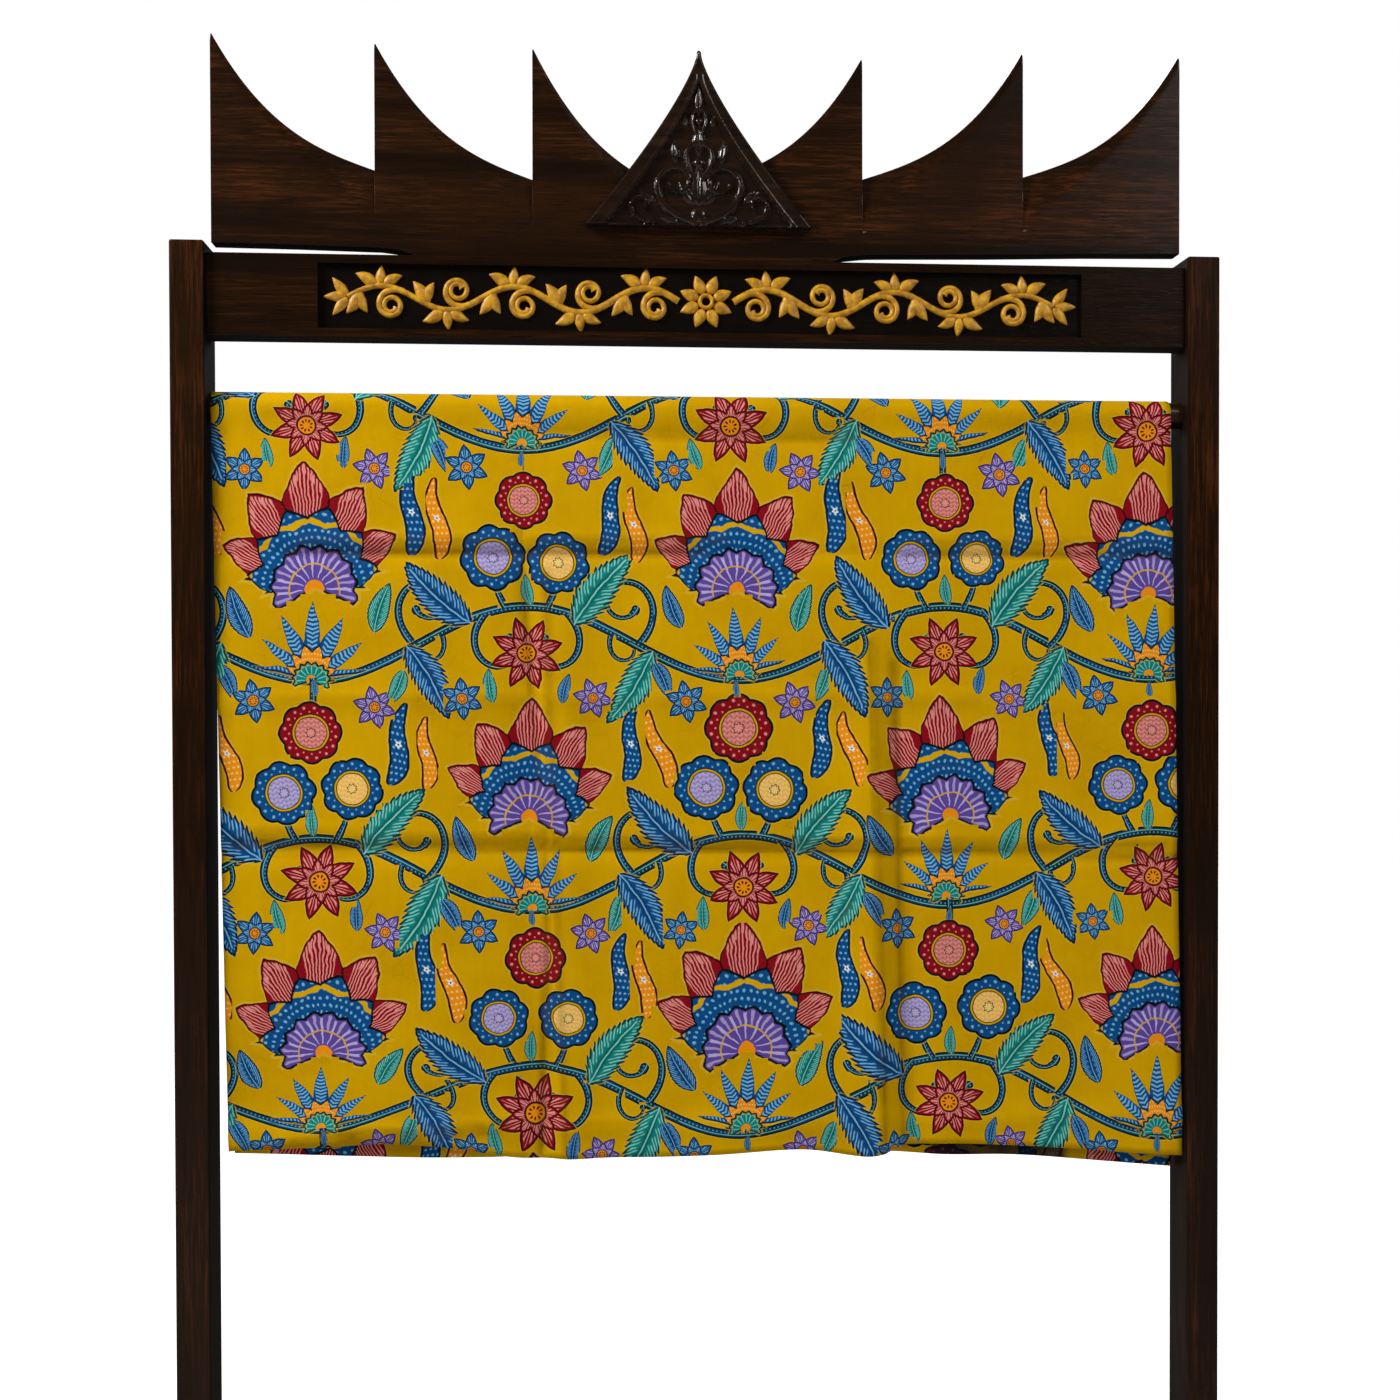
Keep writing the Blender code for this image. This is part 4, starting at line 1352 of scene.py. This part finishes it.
def drawBlade(paint, x, y, look):
    # looks 0 and 1 are toothed leaves, 2 and 3 dotted drops, 4 and 5 small plain leaves
    isDrop = look.near(2.5, 0.6)
    isSmall = look.above(3.5, 0.1)
    isLeaf = 1 - isDrop
    reach = (1 - x * x).most(0.0)
    bent = y - reach * (isLeaf * 0.10) - isDrop * (x * 3.1).sin() * 0.11
    teeth = (1 - (x * 6.5 - abs(y) * 2.2 + 0.2).fract()) * isLeaf * (1 - isSmall * 0.6)
    width = reach ** (isLeaf * 0.35 + 0.38) * (isLeaf * 0.19 + 0.23)
    width = width * (1 - x * 0.28) * (1 - teeth * 0.24)
    inside = width - abs(bent) - (abs(x) - 0.985).most(0.0) * 4
    edge = byLook(paint, look, ["deepTeal", "navy", "navy", "deepMaroon", "navy", "deepTeal"])
    body = byLook(paint, look, ["teal", "blue", "blue", "orange", "blue", "teal"])
    light = byLook(paint, look, ["aqua", "sky", "sky", "cream", "sky", "aqua"])
    colour = paint.mix(inside.above(0.056, 0.015), edge, body)
    share = abs(bent) / width.most(0.01)
    hatch = ((x * 1.0 - abs(bent) * 1.2) * 58.0).sin().above(0.25, 0.6)
    comb = share.above(0.36 + (x * 29.0).sin() * 0.10, 0.2)
    combed = isLeaf * hatch * comb * inside.above(0.060, 0.02)
    colour = paint.mix(combed, colour, light)
    deep = isLeaf * (1 - share.above(0.16, 0.25)) * (0.85 - abs(x)).above(0.0, 0.2)
    colour = paint.mix(deep * 0.75, colour, edge)
    rib = (0.017 - abs(bent)).above(0.0, 0.012) * isLeaf * (0.80 - x).above(0.0, 0.05)
    colour = paint.mix(rib, colour, light)
    cellX = (x * 6.5).fract() - 0.5
    rowShift = ((x * 6.5) - (x * 6.5).fract()) * 0.5
    cellY = (bent * 8.5 + rowShift).fract() - 0.5
    dot = 0.20 - (cellX * cellX + cellY * cellY * 0.6).sqrt()
    colour = paint.mix(dot.above(0.0, 0.1) * isDrop * inside.above(0.06, 0.02), colour, light)
    eye = (x * x + bent * bent).sqrt()
    petals = 0.085 - abs(((bent.turn(x)) * 5).fract() - 0.5) * 0.07
    colour = paint.mix((petals - eye).above(0.0, 0.02) * isDrop, colour, dyes["palest"])
    colour = paint.mix((0.022 - eye).above(0.0, 0.02) * isDrop, colour, edge)
    return inside, colour


def drawFan(paint, x, y, look):
    # three tiers of petals round a foot: look 0 is the great lotus, look 1 the feathered bud
    low = y + 0.75
    far = (x * x + low * low).sqrt()
    turn = x.turn(low)
    lean = abs(turn) * twoPi
    bud = look.near(1)
    petals = 12 + bud * 2
    fold = abs((turn * petals + 0.5).fract() - 0.5) * 2
    lobe = abs((turn * 15).fract() - 0.5) * 2
    high = (1.72 - lean * 0.36) - fold ** (1.15 - bud * 0.3) * (0.40 + bud * 0.42)
    middle = (1.16 - bud * 0.34 - lean * 0.20) - (1 - fold) * 0.20
    foot = (0.60 - bud * 0.18) - lobe * 0.06
    spread = (1.38 - lean).above(0.0, 0.02)
    petal = (high - far).least((1.38 - lean) * far)
    cup = (middle - far).least((1.62 - lean) * far)
    base = (foot - far).least((2.05 - lean) * far)
    inside = petal.most(cup).most(base)
    darkPetal = byLook(paint, look, ["deepMaroon", "navy"])
    petalBody = byLook(paint, look, ["maroon", "blue"])
    petalPale = byLook(paint, look, ["pink", "sky"])
    colour = paint.mix(petal.above(0.034, 0.012), darkPetal, petalBody)
    fields = (0.62 - fold).above(0.0, 0.05) * (petal - 0.05).above(0.0, 0.02) * spread
    stripes = (fold * 42.0).cos().above(0.30, 0.6) * (petal + fold * 0.25).above(0.14, 0.04)
    fringe = (fold * 60.0 + far * 3.0).cos().above(0.1, 0.6) * (0.17 - petal).above(0.0, 0.03)
    ribs = ((far - fold * 0.10) * 64.0).sin().above(0.1, 0.5)
    stripes = stripes.most(fringe) * (1 - bud) + ribs * bud
    colour = paint.mix(fields * stripes, colour, petalPale)
    split = (fold - 0.955).above(0.0, 0.02) * (petal - 0.02).above(0.0, 0.02)
    colour = paint.mix(split, colour, darkPetal)
    cupBody = byLook(paint, look, ["blue", "orange"])
    cupPale = byLook(paint, look, ["sky", "cream"])
    ring = (far * 9.5).fract() - 0.5
    bead = (turn * 56 + ((far * 9.5) - (far * 9.5).fract()) * 0.5).fract() - 0.5
    dots = 0.21 - (ring * ring + bead * bead * 0.9).sqrt()
    colour = paint.mix(cup.above(-0.012, 0.01), colour, dyes["outline"])
    colour = paint.mix(cup.above(0.030, 0.012), colour, cupBody)
    colour = paint.mix(cup.above(0.03, 0.02) * dots.above(0.0, 0.12), colour, cupPale)
    gate = abs((turn * 12 + 0.5).fract() - 0.5) * 2
    arch = (0.055 - abs(far - 0.86 - (1 - gate) * 0.07)) * (1 - bud)
    colour = paint.mix(arch.above(0.02, 0.012) * cup.above(0.03, 0.02), colour, dyes["yellow"])
    footBody = byLook(paint, look, ["violet", "teal"])
    footPale = byLook(paint, look, ["lilac", "aqua"])
    colour = paint.mix(base.above(-0.012, 0.01), colour, dyes["outline"])
    colour = paint.mix(base.above(0.030, 0.012), colour, footBody)
    heart = base.above(0.05, 0.02)
    rays = (lobe - 0.80).above(0.0, 0.1) * (far - 0.14).above(0.0, 0.02)
    shortRays = (0.20 - lobe).above(0.0, 0.08) * (far - 0.34).above(0.0, 0.02) * 0.7
    colour = paint.mix(rays.most(shortRays) * heart, colour, footPale)
    hoop = (0.010 - abs(far - 0.33)).above(0.0, 0.008) * heart
    colour = paint.mix(hoop, colour, dyes["yellow"])
    colour = paint.mix((0.115 - far).above(0.0, 0.012), colour, dyes["orange"])
    return inside, colour


def drawStems(paint, ground, wobble):
    # vines and curls: dark edges, blue and teal body, a row of small beads and a pale line beside it
    x, y, radius = paint.attribute("stemArc")
    run, half, past = paint.attribute("stemRun")
    past = past.most(0.0)
    off = (x * x + y * y).sqrt() - radius
    inside = half - (off * off + past * past).sqrt() + (wobble - 0.5) * 0.0012
    body = paint.mix(((run * 52.0).sin() * 0.5 + 0.5) * 0.6, dyes["deepTeal"], dyes["blue"])
    colour = paint.mix(inside.above(0.0016, 0.0004), dyes["outline"], body)
    bead = ((run / 0.0046).fract() - 0.5) * 0.0046
    dot = half * 0.16 - (bead * bead + (off + half * 0.28) * (off + half * 0.28)).sqrt()
    colour = paint.mix(dot.above(0.0, 0.0003) * 0.8, colour, dyes["sky"])
    shine = (half * 0.10 - abs(off - half * 0.26)).above(0.0, 0.0003)
    colour = paint.mix(shine * wobble.above(0.36, 0.1) * 0.75, colour, dyes["aqua"])
    haloed = paint.mix(inside.above(-0.0010, 0.0006) * 0.45, ground, dyes["halo"])
    return paint.mix(inside.above(0.0, 0.0002), haloed, colour)


def batikPaint():
    paint = Paint("batikCotton")
    place = paint.node("Attribute", {"attribute_name": "clothPlace"}, output="Vector")
    s, t, _ = paint.attribute("clothPlace")
    cloud = paint.noise(place, 9.0, 4.0, 0.6)
    streak = paint.noise(paint.node("Mapping", {}, {0: place, "Scale": (1.0, 0.12, 1.0)}), 120.0, 3.0)
    ground = paint.mix(cloud.above(0.52, 0.5), dyes["yellow"], dyes["deepYellow"])
    ground = paint.mix(streak.above(0.6, 0.3) * 0.25, ground, dyes["deepYellow"])
    speck = paint.noise(place, 900.0, 2.0).above(0.70, 0.05)
    ground = paint.mix(speck * 0.35, ground, dyes["speck"])
    wobble = paint.noise(place, 60.0, 3.0)
    cells = {"Vector": place, "Scale": 46.0}
    cracked = paint.node("TexVoronoi", {"feature": "DISTANCE_TO_EDGE"}, cells)
    # a dark band on the back fall near its hem, on the right, where it shows below the front fall
    darkBand = (t - cloth["darkBandHeight"]).above(0.0, 0.006) * (s - cloth["darkBandFrom"]).above(0.0, 0.006)
    darkBand = darkBand * (cloth["darkBandTo"] - s).above(0.0, 0.010)
    crackle = (0.012 - cracked * wobble).above(0.008, 0.006) * cloud.above(0.56, 0.1)
    colour = drawStems(paint, ground, wobble)
    x, y, _ = paint.attribute("motifPlace")
    trembling = {"Vector": place, "Scale": pattern["shakeScale"], "Detail": 2.0}
    shaken = paint.node("TexNoise", {}, trembling, "Color")
    shakeX, shakeY, _ = (paint.node("SeparateXYZ", {}, {0: shaken}, part) for part in range(3))
    x = x + (shakeX - 0.5) * pattern["shake"]
    y = y + (shakeY - 0.5) * pattern["shake"]
    kind, look, _ = paint.attribute("motifKind")
    drawn = [(flower, drawFlower), (medallion, drawMedallion), (blade, drawBlade), (fan, drawFan)]
    for number, draw in drawn:
        inside, dye = draw(paint, x, y, look)
        own = kind.near(number)
        colour = paint.mix(inside.above(-0.035, 0.03) * own * 0.5, colour, dyes["halo"])
        colour = paint.mix(inside.above(0.0, 0.012) * own, colour, dye)
    colour = paint.mix(crackle * 0.25, colour, dyes["crack"])
    bled = paint.noise(place, 34.0, 4.0)
    colour = paint.mix(bled.above(0.55, 0.6) * 0.08, colour, dyes["bled"])
    colour = paint.mix(darkBand * (0.75 + bled * 0.3), colour, dyes["darkBand"])
    # painted shade along the pressed creases, varied by the wobble noise
    wearAndCreaseShade, _, _ = paint.attribute("clothDark")
    colour = paint.mix(wearAndCreaseShade * (wobble * 0.6 + 0.20), colour, dyes["wearAndCreaseShade"])
    threadsAcross = (s * (twoPi / cloth["thread"])).sin()
    threadsAlong = (t * (twoPi / cloth["thread"])).sin()
    weave = threadsAcross * threadsAlong * 0.5 + 0.5
    colour = paint.mix(weave * 0.06, colour, dyes["shadedThread"])
    crush = paint.noise(place, 26.0, 5.0, 0.62)
    rumple = paint.bump(crush, 0.0022, 0.30)
    normal = paint.bump(weave, 0.00012, 0.6, rumple)
    paint.shader.inputs["Sheen Weight"].default_value = 0.01
    paint.shader.inputs["Sheen Roughness"].default_value = 0.45
    paint.shader.inputs["Specular IOR Level"].default_value = 0.02
    return paint.feed(Base_Color=colour, Roughness=0.80, Normal=normal)


def buildCloth():
    fractions = clothColumns()
    rows = clothRows()
    fraction, along = np.meshgrid(fractions, rows)
    points = clothSurface(fraction, along)
    quads = gridQuads(len(rows), len(fractions))
    sheet = makeMesh("batikCloth", points, quads, smoothAngle=None)
    flat = np.stack([(fraction - 0.5) * cloth["width"], along], -1).reshape(-1, 2)
    # the painted crease shade goes into the pattern's attributes
    drawPattern(sheet.data, flat, pressedShade(points[..., 0], points[..., 2], along < 0).reshape(-1))
    layer = sheet.modifiers.new("cottonThickness", "SOLIDIFY")
    layer.thickness = cloth["thickness"]
    layer.offset = 0.0
    wear(sheet, batikPaint())
    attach(sheet, "root")
    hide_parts("batik_cloth")
    print("cloth has", len(quads), "faces a side")
    return sheet


buildCloth()
print("cloth hangs over the rod")
